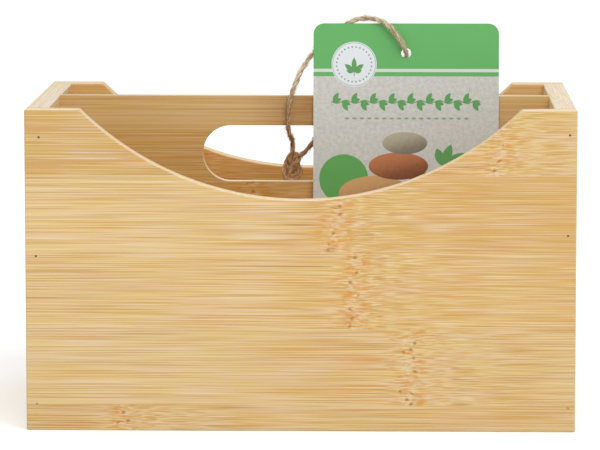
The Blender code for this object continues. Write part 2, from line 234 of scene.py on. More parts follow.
# The brads
BRAD_LENGTH = 0.022
BRAD_RADIUS = 0.0004
BRAD_HEAD_RADIUS = 0.0005
BRAD_HEAD = 0.0006
BRAD_POINT = 0.0015
BRAD_SET = 0.0002
BRAD_CROWN = 0.00005
BRAD_BEVEL = 0.00012
BRAD_FIT = 0.00004
BRAD_MOUTH_RADIUS = 0.0006
BRAD_MOUTH = 0.00015
BRAD_SIDES = 20
CORNER_BRAD_HEIGHT_SHARES = {"left": (0.083, 0.545, 0.914), "right": (0.076, 0.613, 0.924)}
CORNER_BRAD_INSET_SHARES = {"left": (0.49, 0.49, 0.66), "right": (0.34, 0.39, 0.34)}
CENTRE_BRAD_HEIGHT_SHARES = (0.20, 0.56, 0.94)
BRAD_LEVELS = ("low", "middle", "high")

# The hang tag
TAG_WIDTH = 0.087
TAG_HEIGHT = 0.172
TAG_THICKNESS = 0.0006
TAG_CORNER = 0.005
TAG_HOLE_RADIUS = 0.0023
TAG_HOLE_DROP = 0.0139
TAG_SIDE_GAP = 0.0014
TAG_FOOT_OUT = 0.008
TAG_CLEARANCE = 0.0003

# The twine's route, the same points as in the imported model
TWINE_DIAMETER = 0.002
TWINE_ROUTE = [
    (-0.0058, 0.0070, 0.1196), (-0.0056, 0.0066, 0.1222), (-0.0059, 0.0032, 0.1256),
    (-0.0066, -0.0010, 0.1278), (-0.0072, -0.0040, 0.1306), (-0.0075, -0.0049, 0.1344),
    (-0.0074, -0.0047, 0.1382), (-0.0071, -0.0046, 0.1420), (-0.0064, -0.0044, 0.1458),
    (-0.0050, -0.0035, 0.1500), (-0.0033, -0.0020, 0.1543), (-0.0010, -0.0005, 0.1592),
    (0.0026, 0.0004, 0.1648), (0.0085, 0.0009, 0.1714), (0.0155, 0.0010, 0.1774),
    (0.0223, 0.0005, 0.1818), (0.0268, -0.0005, 0.1832), (0.0314, -0.0019, 0.1833),
    (0.0366, -0.0035, 0.1820), (0.0408, -0.0045, 0.1790), (0.0443, -0.0050, 0.1744),
    (0.0467, -0.0048, 0.1702), (0.0479, -0.0027, 0.1672), (0.0478, -0.0002, 0.1650),
    (0.0458, 0.0018, 0.1614), (0.0418, 0.0026, 0.1576), (0.0360, 0.0028, 0.1542),
    (0.0290, 0.0032, 0.1516), (0.0222, 0.0045, 0.1482), (0.0160, 0.0054, 0.1428),
    (0.0112, 0.0056, 0.1362), (0.0074, 0.0058, 0.1296), (0.0040, 0.0062, 0.1240),
    (0.0012, 0.0066, 0.1206), (-0.0008, 0.0069, 0.1186), (-0.0024, 0.0070, 0.1174),
]
CURVE_SAMPLES = 24
ROUTE_SPACING = 0.0005

# The twine's mesh. FUZZ_STEP is how many loose fibres to a square metre one step of their setting adds
TWINE_SPACING = 0.00035
TWINE_SEED = 5
PLY_SIDES = 10
FIBRE_RADIUS = 0.000048
FUZZ_STEP = 2.5e6

# The overhand knot, tied with both ends of the twine side by side. KNOT_START is how far along the twine
# its strands begin, and KNOT_APART how many ply radii off the knot's middle line they lie
KNOT_CENTRE = Vector((-0.0063, 0.0073, 0.1125))
KNOT_SCALE = Vector((0.86, 0.70, 1.14))
KNOT_TURN = math.radians(-30)
KNOT_STRAND = 3.2
KNOT_POINTS = 84
KNOT_APART = 1.6
KNOT_TAIL = 0.0120
KNOT_NECK = 0.0058
KNOT_FUZZ_SHARE = 0.4
KNOT_PLY_SHARE = 1.18
KNOT_START = 0.19
KNOT_SEED = 9

# How the knot is pulled tight: the most pulls, the settlings after each, and the stretch of its links that
# ends it. The loose knot's size, the stretch of line that pushes nothing and one pull are in strands.
# Straightening and pushing take a share of the bend and of the overlap
KNOT_PULLS = 200
KNOT_SETTLINGS = 60
KNOT_MOST_STRETCH = 1.035
KNOT_LOOSE_SIZE = 0.733
KNOT_NEIGHBOURS = 1.45
KNOT_PULL = 0.04
KNOT_STRAIGHTEN = 0.06
KNOT_PUSH = 0.4

# The twine's loop stays on its body up to the handle bar, and follows the tag from its hole
FOLLOW_DIRECTION = Vector((0.6, 0.0, 0.8))
FOLLOW_START = 0.1319
FOLLOW_END = 0.1625

# The bamboo's fibres: waves to a metre along the grain far from the node and close to it, waves to a
# metre across it, and a start of their own
FIBRES = {
    "fine": (19.0, 240.0, 3000.0, 0.0),
    "middle": (12.0, 130.0, 2000.0, 3.0),
    "streak": (8.0, 190.0, 2900.0, 7.0),
    "hue": (13.0, 90.0, 420.0, 11.0),
    "light": (21.0, 240.0, 2400.0, 15.0),
}

# How far from its node each mark in the bamboo begins, and how near to it the mark is whole
NODE_CORE = (0.006, 0.001)
NODE_FLECKS = (0.014, 0.003)
NODE_SPECKS = (0.0034, 0.0022)
# The painted shadow of the tag and twine reaches this far round a node, and is whole this near to it
NODE_TAG_SHADOW = (0.042, 0.006)

# How far a node's line wanders, and how far its fibres crowd on its left and on its right
NODE_WANDER = 0.010
LEFT_CROWDING = 0.0060
RIGHT_CROWDING = 0.0200

# Tints, and the colours that no setting holds
WHITE = (1.0, 1.0, 1.0)
CREAM_LEAN = (1.002, 0.999, 1.030)
GOLD_LEAN = (0.998, 1.001, 0.950)
# A painted shadow: the darker tint where the tag and twine shade the handle bar
TAG_SHADOW_TINT = (0.83, 0.775, 0.77)
# Painted bounce light: a warmer tint on the back panel, for the warm light bounced inside the box
BACK_PAINTED_BOUNCE_TINT = (1.03, 0.98, 0.90)
BACK_EDGE_TINT = (0.97, 0.95, 0.93)
# Painted light: a brightening tint on the ends' faces, for light on their inner faces; their sawn edges take the tint
# after it
END_PAINTED_LIGHT_TINT = (1.04, 1.08, 1.14)
END_EDGE_TINT = (0.97, 0.985, 1.02)
STEEL_DARK = (0.46, 0.35, 0.19)
STEEL_PALE = (0.66, 0.54, 0.36)
SANDING_DUST = (0.86, 0.72, 0.50)
# Tints that make the twine browner at its ends and in the knot, and paler along the loop
KNOT_BROWNING = (0.96, 0.89, 0.80)
LOOP_PALING = (1.03, 1.12, 1.21)
CARD_SHADE = 0.90
CARD_THREAD = (0.93, 0.92, 0.90)
CARD_GRIT = (0.60, 0.54, 0.46)
DISC_GREEN = (0.385, 0.680, 0.352)

# The print, in millimetres to the right and down from the card's upper left corner. A line, a rim and a
# reach are each a middle, with half the width after it
BAND_FOOT = 21.3
CREAM_LINE = (22.05, 0.75)
GREEN_LINE = (23.8, 1.0)
BADGE = (19.1, 19.2)
BADGE_RADIUS = 10.6
BADGE_RIM = (10.1, 0.14)
BEAD_RING = 8.2
BEAD_COUNT = 28
BEAD_RADIUS = 0.42
SPROUT_LEAVES = ((90, 6.6), (38, 5.6), (142, 5.6), (8, 3.6), (172, 3.6))
SPROUT_DROP = 3.4
GARLAND = 36.8
GARLAND_REACH = (43.4, 35.0)
GARLAND_PERIOD = 8.75
GARLAND_LEAVES = ((58, 5.0), (18, 4.2))
SEEDS = 44.6
SEED_PERIOD = 3.5
SEED_REACH = (43.75, 29.75)
DISC = (14.3, 73.0)
DISC_RADIUS = 11.5
SPRIG = (61.0, 67.0)
SPRIG_LEAVES = ((70, 11.0), (30, 12.5), (110, 9.0))
PEBBLES = (
    (29.0, 80.0, 17.0, 8.4, (0.86, 0.68, 0.46), (0.62, 0.42, 0.25)),
    (54.0, 76.0, 10.0, 6.0, (0.30, 0.29, 0.31), (0.12, 0.12, 0.14)),
    (40.0, 67.0, 14.0, 6.4, (0.78, 0.50, 0.32), (0.50, 0.28, 0.16)),
    (43.0, 56.2, 10.5, 5.2, (0.74, 0.71, 0.62), (0.50, 0.47, 0.40)),
)

# The studio
CAMERA_PLACE = (0.0415, -1.7654, 0.30516)
CAMERA_TILT = math.radians(90 - 7.0923)
CAMERA_TURN = math.radians(1.4111)
SENSOR_WIDTH = 36.0
VIEW_END = 20.0
LAMP_TARGET = (0.0, 0.0, 0.08)
FLOOR_LOW, FLOOR_HIGH = (-6.0, -4.0, -0.02), (6.0, 8.0, 0.0)
FLOOR_GREY = (0.86, 0.86, 0.86, 1.0)
FLOOR_GLOW_NEAR, FLOOR_GLOW_RISE = 0.31, 0.23
FLOOR_GLOW_REACH = (0.15, 0.75)

INNER_HALF_WIDTH = BOX_WIDTH / 2 - END_THICKNESS
INNER_HALF_DEPTH = BOX_DEPTH / 2 - PANEL_THICKNESS
FLOOR_TOP = FLOOR_LIFT + FLOOR_THICKNESS
SLOT_CENTRE = BOX_HEIGHT - HANDLE_BAR - SLOT_HEIGHT / 2
SCOOP_RADIUS = (SCOOP_WIDTH**2 / 4 + SCOOP_DEPTH**2) / (2 * SCOOP_DEPTH)
HALVING_HEIGHT = FLOOR_TOP + (CROSS_TOP - FLOOR_TOP) * HALVING_SHARE
QUARTER = math.pi / 2


def colour_setting(name, default):
    about = "Colour of the " + name.lower()
    kind = {"subtype": "COLOR_GAMMA", "size": 3, "min": 0.0, "max": 1.0}
    return FloatVectorProperty(name=name, description=about, default=default, **kind)


def number_setting(name, about, default, low, high, **kind):
    return FloatProperty(name=name, description=about, default=default, min=low, max=high, **kind)


def length_setting(name, about, default, low, high):
    return number_setting(name, about, default, low, high, subtype="DISTANCE")


class BambooSettings(bpy.types.PropertyGroup):
    pale: colour_setting("Pale fibres", (0.925, 0.812, 0.605))
    tan: colour_setting("Darker fibres", (0.845, 0.675, 0.410))
    streak: colour_setting("Thin dark streaks", (0.745, 0.540, 0.300))
    glow: colour_setting("Flecks beside a node", (0.865, 0.605, 0.265))
    cut: colour_setting("Sawn and sanded edges", (0.950, 0.882, 0.772))
    speck: colour_setting("Specks in a node", (0.330, 0.220, 0.130))
    # A painted shade: a darker, warmer tint on the inner boards, for the shade and the warm bounced light inside the
    # box
    inner: colour_setting("Inner boards, as a tint", (0.955, 0.915, 0.84))
    strip: length_setting("Strip height", "Height of one glued strip", 0.035, 0.005, 0.08)


class TwineSettings(bpy.types.PropertyGroup):
    pale: colour_setting("Pale fibres", (0.930, 0.805, 0.630))
    dark: colour_setting("Dark fibres", (0.520, 0.325, 0.165))
    ply: length_setting("Ply radius", "Radius of one of the two plies", 0.00070, 0.0002, 0.001)
    lay: length_setting("Lay radius", "From the twine's middle to a ply's", 0.00041, 0.0001, 0.001)
    pitch: length_setting("Twist", "Length of one whole twist of the plies", 0.0092, 0.002, 0.03)
    fuzz: IntProperty(name="Loose fibres", description="How densely they stand", default=1, min=0, max=5)
    fuzz_length: length_setting("Fibre length", "Length of the longest ones", 0.0026, 0.0005, 0.01)


class TagSettings(bpy.types.PropertyGroup):
    green: colour_setting("Band", (0.405, 0.722, 0.407))
    leaf: colour_setting("Small ornaments", (0.380, 0.645, 0.365))
    line: colour_setting("Line under the band", (0.873, 0.915, 0.880))
    card: colour_setting("Speckled card", (0.876, 0.882, 0.860))
    badge: colour_setting("Round badge", (0.930, 0.950, 0.980))


class StudioSettings(bpy.types.PropertyGroup):
    lens: number_setting("Lens", "Focal length of the camera", 225.85, 10.0, 500.0)
    ambient: number_setting("Ambient", "Strength of the even light", 0.60, 0.0, 2.0)
    key: number_setting("Key", "Power of the main lamp", 16.0, 0.0, 100.0, unit="POWER")
    top: number_setting("Top", "Power of the lamp overhead", 3.5, 0.0, 100.0, unit="POWER")


def linear(colour):
    """A colour as written, in the linear values that a shader's socket takes."""
    values = [c / 12.92 if c <= 0.04045 else ((c + 0.055) / 1.055) ** 2.4 for c in colour]
    return (*values, 1.0)


def joined(operation, swapped=False):
    """The method of a wire that joins it to another wire or number."""

    def method(self, other):
        first, second = (other, self) if swapped else (self, other)
        return self.wiring.sum_of(operation, first, second)

    return method


class Wire:
    """What comes out of a node. Sums and products of it add the nodes that they need."""

    def __init__(self, wiring, socket):
        self.wiring = wiring
        self.socket = socket

    def __getitem__(self, output):
        return Wire(self.wiring, self.socket.node.outputs[output])

    __add__ = joined("ADD")
    __radd__ = joined("ADD", swapped=True)
    __sub__ = joined("SUBTRACT")
    __rsub__ = joined("SUBTRACT", swapped=True)
    __mul__ = joined("MULTIPLY")
    __rmul__ = joined("MULTIPLY", swapped=True)
    __truediv__ = joined("DIVIDE")


class Wiring:
    """Adds nodes to a tree. An input takes a number, a vector, or another node's wire."""

    def __init__(self, tree):
        self.tree = tree

    def feed(self, socket, value):
        if isinstance(value, Wire):
            self.tree.links.new(value.socket, socket)
        else:
            socket.default_value = value

    def node(self, kind, inputs=None, output=0, **settings):
        made = self.tree.nodes.new(kind)
        for name, value in settings.items():
            setattr(made, name, value)
        for key, value in (inputs or {}).items():
            self.feed(made.inputs[key], value)
        return Wire(self, made.outputs[output]) if made.outputs else made

    def sum_of(self, operation, first, second=0.0, third=0.0):
        return self.node("ShaderNodeMath", {0: first, 1: second, 2: third}, operation=operation)

    def absolute(self, value):
        return self.sum_of("ABSOLUTE", value)

    def at(self, x=0.0, y=0.0, z=0.0):
        return self.node("ShaderNodeCombineXYZ", {0: x, 1: y, 2: z})

    def parts(self, vector):
        split = self.node("ShaderNodeSeparateXYZ", {0: vector})
        return split, split["Y"], split["Z"]

    def scaled(self, vector, factor):
        return self.node("ShaderNodeVectorMath", {0: vector, 3: factor}, operation="SCALE")

    def pairwise(self, operation, first, second):
        return self.node("ShaderNodeVectorMath", {0: first, 1: second}, operation=operation)

    def length(self, vector):
        return self.node("ShaderNodeVectorMath", {0: vector}, "Value", operation="LENGTH")

    def place(self):
        return self.node("ShaderNodeTexCoord", output="Object")

    def noise(self, vector, detail=0.0, roughness=0.5):
        inputs = {"Vector": vector, "Scale": 1.0, "Detail": detail, "Roughness": roughness}
        return self.node("ShaderNodeTexNoise", inputs)

    def dots(self, vector):
        """How far the nearest of many scattered dots is."""
        inputs = {"Vector": vector, "Scale": 1.0}
        return self.node("ShaderNodeTexVoronoi", inputs, "Distance", voronoi_dimensions="2D")

    def ease(self, value, low, high):
        """0 below low, 1 above high and smooth between. It falls instead where low is above high."""
        if low > high:
            return 1.0 - self.ease(value, high, low)
        inputs = {"Value": value, "From Min": low, "From Max": high}
        return self.node("ShaderNodeMapRange", inputs, interpolation_type="SMOOTHSTEP")

    def inside(self, distance, radius, softness):
        """1 where a distance is less than a radius, with an edge as soft as the softness."""
        half = softness / 2
        inputs = {"Value": distance, "From Min": radius - half, "From Max": radius + half}
        return self.node("ShaderNodeMapRange", inputs | {"To Min": 1.0, "To Max": 0.0})

    def mix(self, share, first, second):
        """A colour between two others, each of them a wire or a colour as written."""
        first, second = [c if isinstance(c, Wire) else linear(c) for c in (first, second)]
        return self.node("ShaderNodeMix", {0: share, 6: first, 7: second}, 2, data_type="RGBA")

    def between(self, share, first, second):
        return self.node("ShaderNodeMix", {0: share, 2: first, 3: second}, 0, data_type="FLOAT")

    def attribute(self, name):
        return self.node("ShaderNodeAttribute", output="Fac", attribute_name=name)


def new_finish(name):
    """A material with its wiring and its main shader."""
    material = bpy.data.materials.new(name)
    material.use_nodes = True
    return material, Wiring(material.node_tree), material.node_tree.nodes["Principled BSDF"]


def finish_surface(wiring, shader, colour, roughness, height, depth, strength=1.0):
    """Feeds the main shader. The height is in shares of the depth, in metres."""
    inputs = {"Height": height, "Distance": depth, "Strength": strength}
    wiring.feed(shader.inputs["Base Color"], colour)
    wiring.feed(shader.inputs["Roughness"], roughness)
    wiring.feed(shader.inputs["Normal"], wiring.node("ShaderNodeBump", inputs))


@dataclass
class Strip:
    """One glued strip: its node's place, its shade and paleness from 0 to 1, how much paler its left end is,
    and how strongly a painted shadow of the tag and twine darkens the wood round its node."""

    node: float = None
    shade: float = None
    pale: float = None
    drift: float = 0.16
    tag_shadow: float = 0.0


@dataclass
class Grain:
    """How one board's fibres run. Turned by turn, they run along X for half the board's length each way,
    and its strips lie along Z from the foot to the top."""

    half: float
    turn: tuple = (0.0, 0.0, 0.0)
    foot: float = 0.0
    top: float = BOX_HEIGHT
    first_strip: float = 0.012
    strips: list = field(default_factory=list)
    tint: tuple = WHITE
    edge_tint: tuple = WHITE
    contrast: float = 1.0
    seed: int = 0


ALONG_Y = (0.0, 0.0, -QUARTER)
LYING = (QUARTER, 0.0, 0.0)


def strip_table(wiring, share, grain, strip_height):
    """Each strip's node place, shade, pattern number, paleness, drift and painted tag shadow, by how far up it lies.
    """
    dice = random.Random(grain.seed)
    shade_dice = random.Random(grain.seed + 100)
    ramps = [wiring.node("ShaderNodeValToRGB", {0: share}) for _ in range(2)]
    height = grain.top - grain.foot
    count = 1 + math.ceil((height - grain.first_strip) / strip_height)
    for index in range(count):
        edge = (grain.first_strip + (index - 1) * strip_height) / height if index else 0.0
        strip = grain.strips[index] if index < len(grain.strips) else Strip()
        place, shade, number = dice.uniform(0.06, 0.94), dice.uniform(0.2, 0.8), dice.random()
        pale = shade_dice.uniform(0.35, 0.65)
        if strip.node is not None:
            place = (strip.node + grain.half) / (2 * grain.half)
        shade = shade if strip.shade is None else strip.shade
        pale = pale if strip.pale is None else strip.pale
        rows = (place, shade, number, 1.0), (pale, (strip.drift + 1.0) / 2, strip.tag_shadow, 1.0)
        for ramp, values in zip(ramps, rows):
            colours = ramp.socket.node.color_ramp
            colours.interpolation = "CONSTANT"
            if index == 1:
                colours.elements.remove(colours.elements[-1])
            element = colours.elements[0] if index == 0 else colours.elements.new(edge)
            element.position = edge
            element.color = values
    first, second = [wiring.node("ShaderNodeSeparateColor", {0: ramp}) for ramp in ramps]
    return first, first[1], first[2], second, second[1] * 2.0 - 1.0, second[2]


def bamboo(name, grain):
    """Glued strips of bamboo: fine streaks along the grain, and one knotty node in each strip."""
    look = bpy.context.scene.organizer_bamboo
    material, wiring, shader = new_finish(name)
    at, noise, ease, mix = wiring.at, wiring.noise, wiring.ease, wiring.mix
    turned = wiring.node("ShaderNodeMapping", {"Vector": wiring.place(), "Rotation": grain.turn})
    along, deep, across = wiring.parts(turned)
    share = (across - grain.foot) / (grain.top - grain.foot)
    node_share, shade, number, pale, drift, tag_shadow = strip_table(wiring, share, grain, look.strip)
    shift = number * 7.3 + grain.seed * 1.7

    # How far a point is from its strip's node, whose line wanders up and down the strip
    wander = noise(at(shift, 0.0, across * 190.0), 1.0) - 0.5
    node = node_share * (2 * grain.half) - grain.half + wander * NODE_WANDER
    off = along - node
    aside = wiring.absolute(off)
    core = ease(aside, *NODE_CORE)

    # Fibres are long, and shorter and shorter towards the node, most of all on its right
    right = wiring.sum_of("GREATER_THAN", off, 0.0)
    fade = wiring.between(right, LEFT_CROWDING, RIGHT_CROWDING)
    crowd = (1.0 - wiring.sum_of("EXPONENT", aside / fade * -1.0)) * fade * (right * 2.0 - 1.0)
    slow_wave = noise(at(along * 6.0 + shift, deep * 30.0, across * 16.0)) - 0.5
    node_wave = noise(at(along * 150.0, deep * 200.0 + shift, across * 150.0)) - 0.5
    lane = across + slow_wave * 0.0007 + node_wave * core * 0.0006

    def fibres(kind, detail=0.0):
        """Noise drawn out along the grain."""
        far, close, thin, start = FIBRES[kind]
        run = off * far + crowd * (close - far) + shift + start
        return noise(at(run, deep * 1200.0 + start, lane * thin), detail, 0.6)

    fine = fibres("fine", 1.0)
    broad = noise(at(along * 6.0, deep * 20.0 + shift, lane * 60.0), 1.0)
    mixed = fine * 0.68 + fibres("middle") * 0.24 + broad * 0.08 + along * drift - pale * 0.3 + 0.15
    span = 0.10 / grain.contrast
    colour = mix(ease(mixed, 0.5 - span, 0.5 + span), look.pale, look.tan)

    # Thin darker streaks, some of them orange, and thin pale ones
    streak = ease(fibres("streak"), 0.56, 0.64) * grain.contrast
    hue = ease(fibres("hue"), 0.40, 0.58)
    rise = ease(off, -0.060, -0.004) * ease(off, 0.004, 0.0) * 0.4 + 0.6
    colour = mix(streak * rise, colour, mix(hue, look.streak, look.glow))
    light = ease(fibres("light"), 0.58, 0.72) * grain.contrast
    colour = mix(light * 0.50, colour, look.cut)

    # Orange flecks, a pale haze and a row of dark specks make the node
    fleck = ease(noise(at(off * 130.0 + shift, deep * 400.0, lane * 1000.0), 1.0), 0.52, 0.62)
    colour = mix(fleck * ease(aside, *NODE_FLECKS) * 0.8, colour, look.glow)
    haze = ease(noise(at(off * 300.0, deep * 400.0 + shift, lane * 1100.0), 1.0), 0.50, 0.66)
    colour = mix(haze * core * 0.45, colour, look.cut)
    dot = wiring.dots(at(off * 170.0 + shift * 3.0, across * 200.0))
    in_row = ease(aside, *NODE_SPECKS)
    colour = mix(ease(dot, 0.24, 0.08) * in_row * 0.8, colour, look.streak)
    colour = mix(ease(dot, 0.070, 0.025) * in_row * 0.6, colour, look.speck)

    # Sawn and sanded edges are paler, with the strands' ends as dots where they are cut across
    cut = wiring.attribute("cut")
    end_grain = wiring.attribute("end_grain")
    pale_edge = mix(ease(fine, 0.40, 0.66) * 0.35, look.cut, look.tan)
    pale_edge = mix(end_grain * 0.35, pale_edge, look.tan)
    pore = wiring.dots(at(deep * 1500.0, across * 1500.0))
    pale_edge = mix(ease(pore, 0.34, 0.18) * end_grain * 0.6, pale_edge, look.streak)
    colour = mix(cut * 0.88, colour, pale_edge)

    # Each strip has its own shade, and each board its tints. The tints on the back, the ends and the inner boards are
    # painted light and shade
    level = wiring.scaled(colour, shade * 0.12 + 0.945)
    # Painted shadow of the tag and twine: the tint darkens round the node of a strip that asks for it
    tag_shadowed = [board * dark for board, dark in zip(grain.tint, TAG_SHADOW_TINT)]
    tint = mix(ease(aside, *NODE_TAG_SHADOW) * tag_shadow, grain.tint, tag_shadowed)
    toned = wiring.pairwise("MULTIPLY", level, mix(cut, tint, grain.edge_tint))

    # Long patches lean to cream or to gold
    patch = noise(at(along * 40.0 + shift, deep * 60.0, across * 330.0), 1.0)
    toned = wiring.pairwise("MULTIPLY", toned, mix(ease(patch, 0.36, 0.64), CREAM_LEAN, GOLD_LEAN))

    height = fine * 0.7 - streak * 0.5 - ease(dot, 0.2, 0.05) * in_row
    finish_surface(wiring, shader, toned, fine * 0.16 + cut * 0.14 + 0.36, height, 0.00005, 0.4)
    shader.inputs["Specular IOR Level"].default_value = 0.35
    return material


def steel():
    """Dull brown steel, with sanding dust on the lowest brads."""
    material, wiring, shader = new_finish("dark_brad_steel")
    place = wiring.place()
    cloud = wiring.noise(wiring.scaled(place, 5200.0), 3.0)
    colour = wiring.mix(wiring.ease(cloud, 0.35, 0.70), STEEL_DARK, STEEL_PALE)
    _, _, up = wiring.parts(place)
    colour = wiring.mix(wiring.ease(up, 0.06, 0.02) * 0.75, colour, SANDING_DUST)
    shader.inputs["Metallic"].default_value = 0.4
    finish_surface(wiring, shader, colour, cloud * 0.4 + 0.3, cloud, 0.00003)
    return material


def jute():
    """Twisted jute: fibres along each ply, in several browns, and paler loose ones."""
    look = bpy.context.scene.organizer_twine
    material, wiring, shader = new_finish("jute_fibre")
    at, noise, ease, mix = wiring.at, wiring.noise, wiring.ease, wiring.mix
    along = wiring.attribute("along")
    around = wiring.attribute("around") * (2 * math.pi)
    side = wiring.sum_of("COSINE", around)
    rise = wiring.sum_of("SINE", around)
    fibre = noise(at(side * 4.0 + along * 300.0, rise * 4.0, along * 420.0), 2.0, 0.6)
    patch = noise(at(along * 130.0, side * 0.8, rise * 0.8), 1.0)
    colour = mix(ease(fibre * 0.6 + patch * 0.4, 0.39, 0.61), look.dark, look.pale)
    colour = mix(wiring.attribute("hair") * 0.6, colour, look.pale)

    # Paler along the loop, and browner at the twine's ends and in the knot
    reached = wiring.sum_of("FLOORED_MODULO", along, math.pi)
    loop_paling = ease(reached, 0.018, 0.048) * ease(reached, 0.185, 0.150)
    colour = wiring.pairwise("MULTIPLY", colour, mix(loop_paling, KNOT_BROWNING, LOOP_PALING))
    finish_surface(wiring, shader, colour, fibre * 0.2 + 0.72, fibre, 0.00012)
    shader.inputs["Sheen Weight"].default_value = 0.25
    shader.inputs["Sheen Roughness"].default_value = 0.5
    return material


def new_piece(name, mesh, material=None):
    made = bpy.data.objects.new(name, mesh)
    bpy.context.scene.collection.objects.link(made)
    if material is not None:
        mesh.materials.clear()
        mesh.materials.append(material)
    return made


def discard(piece):
    bpy.data.objects.remove(piece, do_unlink=True)


def as_mesh(maker, name):
    """The evaluated shape of a curve or of an object with modifiers, as a plain mesh. The maker goes."""
    bpy.context.view_layer.update()
    graph = bpy.context.evaluated_depsgraph_get()
    mesh = bpy.data.meshes.new_from_object(maker.evaluated_get(graph), depsgraph=graph)
    mesh.name = name
    mesh.transform(maker.matrix_world)
    discard(maker)
    return mesh


def written(shape, mesh):
    """Puts an edited shape into a mesh. The shape goes."""
    shape.to_mesh(mesh)
    shape.free()
    return mesh


def arc_points(centre, radius, start, end, steps):
    angles = [start + (end - start) * step / steps for step in range(steps + 1)]
    return [(centre[0] + radius * math.cos(a), centre[1] + radius * math.sin(a)) for a in angles]


def flat_shape(name, outlines, thickness, turn):
    """A flat plate as a mesh, cut to outlines: the first runs round it and the rest are holes in it."""
    curve = bpy.data.curves.new(name, "CURVE")
    curve.dimensions = "2D"
    curve.fill_mode = "BOTH"
    curve.extrude = thickness / 2
    for outline in outlines:
        spline = curve.splines.new("POLY")
        spline.points.add(len(outline) - 1)
        for point, (x, y) in zip(spline.points, outline):
            point.co = (x, y, 0.0, 1.0)
        spline.use_cyclic_u = True
    maker = new_piece(name, curve)
    maker.matrix_world = turn
    return as_mesh(maker, name)


def box_shape(name, low, high):
    low, high = Vector(low), Vector(high)
    shape = bmesh.new()
    bmesh.ops.create_cube(shape, size=1.0)
    bmesh.ops.scale(shape, vec=high - low, verts=shape.verts)
    bmesh.ops.translate(shape, vec=(low + high) / 2, verts=shape.verts)
    return written(shape, bpy.data.meshes.new(name))


def dress_board(name, mesh, grain, thick_axis, radius_at, cutters=()):
    """A board from its blank: eased edges, its cuts, and marks on the faces that a saw has cut."""
    shape = bmesh.new()
    shape.from_mesh(mesh)
    bmesh.ops.remove_doubles(shape, verts=shape.verts, dist=GLUE_LINE / 4)
    bmesh.ops.dissolve_limit(shape, angle_limit=FLAT_ANGLE, verts=shape.verts, edges=shape.edges)
    bmesh.ops.recalc_face_normals(shape, faces=shape.faces)
    weight = shape.edges.layers.float.new("bevel_weight_edge")
    radii = {}
    for edge in shape.edges:
        if edge.calc_face_angle(0.0) > SHARP_ANGLE:
            radii[edge] = radius_at((edge.verts[0].co + edge.verts[1].co) / 2)
    widest = max(radii.values())
    for edge, radius in radii.items():
        edge[weight] = radius / max(widest, GLUE_LINE)
    blank = new_piece(name, written(shape, mesh))
    if widest > 0.0:
        bevel = blank.modifiers.new("eased_edges", "BEVEL")
        bevel.limit_method = "WEIGHT"
        bevel.width = widest
        bevel.segments = EASE_STEPS
    for cutter in cutters:
        boolean = blank.modifiers.new(cutter.name, "BOOLEAN")
        boolean.operation = "DIFFERENCE"
        boolean.solver = "EXACT"
        boolean.object = cutter
    board = new_piece("bamboo_" + name, as_mesh(blank, name), bamboo(name + "_bamboo", grain))
    for cutter in cutters:
        discard(cutter)
    along = Matrix.Rotation(-grain.turn[2], 3, "Z") @ Vector((1.0, 0.0, 0.0))
    cut = board.data.attributes.new("cut", "FLOAT", "FACE")
    end_grain = board.data.attributes.new("end_grain", "FLOAT", "FACE")
    for face in board.data.polygons:
        cut.data[face.index].value = 1.0 if abs(face.normal[thick_axis]) < CUT_FACE_SLOPE else 0.0
        slope = abs(face.normal.dot(along))
        end_grain.data[face.index].value = 1.0 if slope > END_GRAIN_SLOPE else slope
    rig.ride(board, "box")
    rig.replaces(board, name)
    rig.slot(board, "bamboo_walls" if name.endswith("_panel") else "bamboo_dividers")
    return board


def scooped_outline():
    centre = (0.0, BOX_HEIGHT - SCOOP_DEPTH + SCOOP_RADIUS)
    half_angle = math.asin(SCOOP_WIDTH / 2 / SCOOP_RADIUS)
    scoop = arc_points(centre, SCOOP_RADIUS, -QUARTER + half_angle, -QUARTER - half_angle, SCOOP_STEPS)
    half = BOX_WIDTH / 2
    return [(-half, 0.0), (half, 0.0), (half, BOX_HEIGHT), *scoop, (-half, BOX_HEIGHT)]


def slot_outline():
    radius = SLOT_HEIGHT / 2
    reach = SLOT_LENGTH / 2 - radius
    right = arc_points((reach, SLOT_CENTRE), radius, -QUARTER, QUARTER, SLOT_END_STEPS)
    left = arc_points((-reach, SLOT_CENTRE), radius, QUARTER, 3 * QUARTER, SLOT_END_STEPS)
    return right + left


def brad_places(face=None, end=None):
    """The name, place and outward direction of each brad, or of those through one panel or end."""
    rows = []
    for panel, facing in (("front", -1), ("back", 1)):
        for side_name, side in (("left", -1), ("right", 1)):
            heights, insets = CORNER_BRAD_HEIGHT_SHARES[side_name], CORNER_BRAD_INSET_SHARES[side_name]
            for level, height_share, inset_share in zip(BRAD_LEVELS, heights, insets):
                x = side * (BOX_WIDTH / 2 - END_THICKNESS * inset_share)
                place = Vector((x, facing * BOX_DEPTH / 2, BOX_HEIGHT * height_share))
                rows.append((panel, side_name, level, place, Vector((0.0, facing, 0.0))))
    for side_name, side in (("left", -1), ("right", 1)):
        for level, height_share in zip(BRAD_LEVELS, CENTRE_BRAD_HEIGHT_SHARES):
            place = Vector((side * BOX_WIDTH / 2, 0.0, BOX_HEIGHT * height_share))
            rows.append(("centre", side_name, level, place, Vector((side, 0.0, 0.0))))
    return [
        (f"brad_{panel}_{side_name}_{level}", place, outward)
        for panel, side_name, level, place, outward in rows
        if face in (None, panel) and end in (None, side_name)
    ]


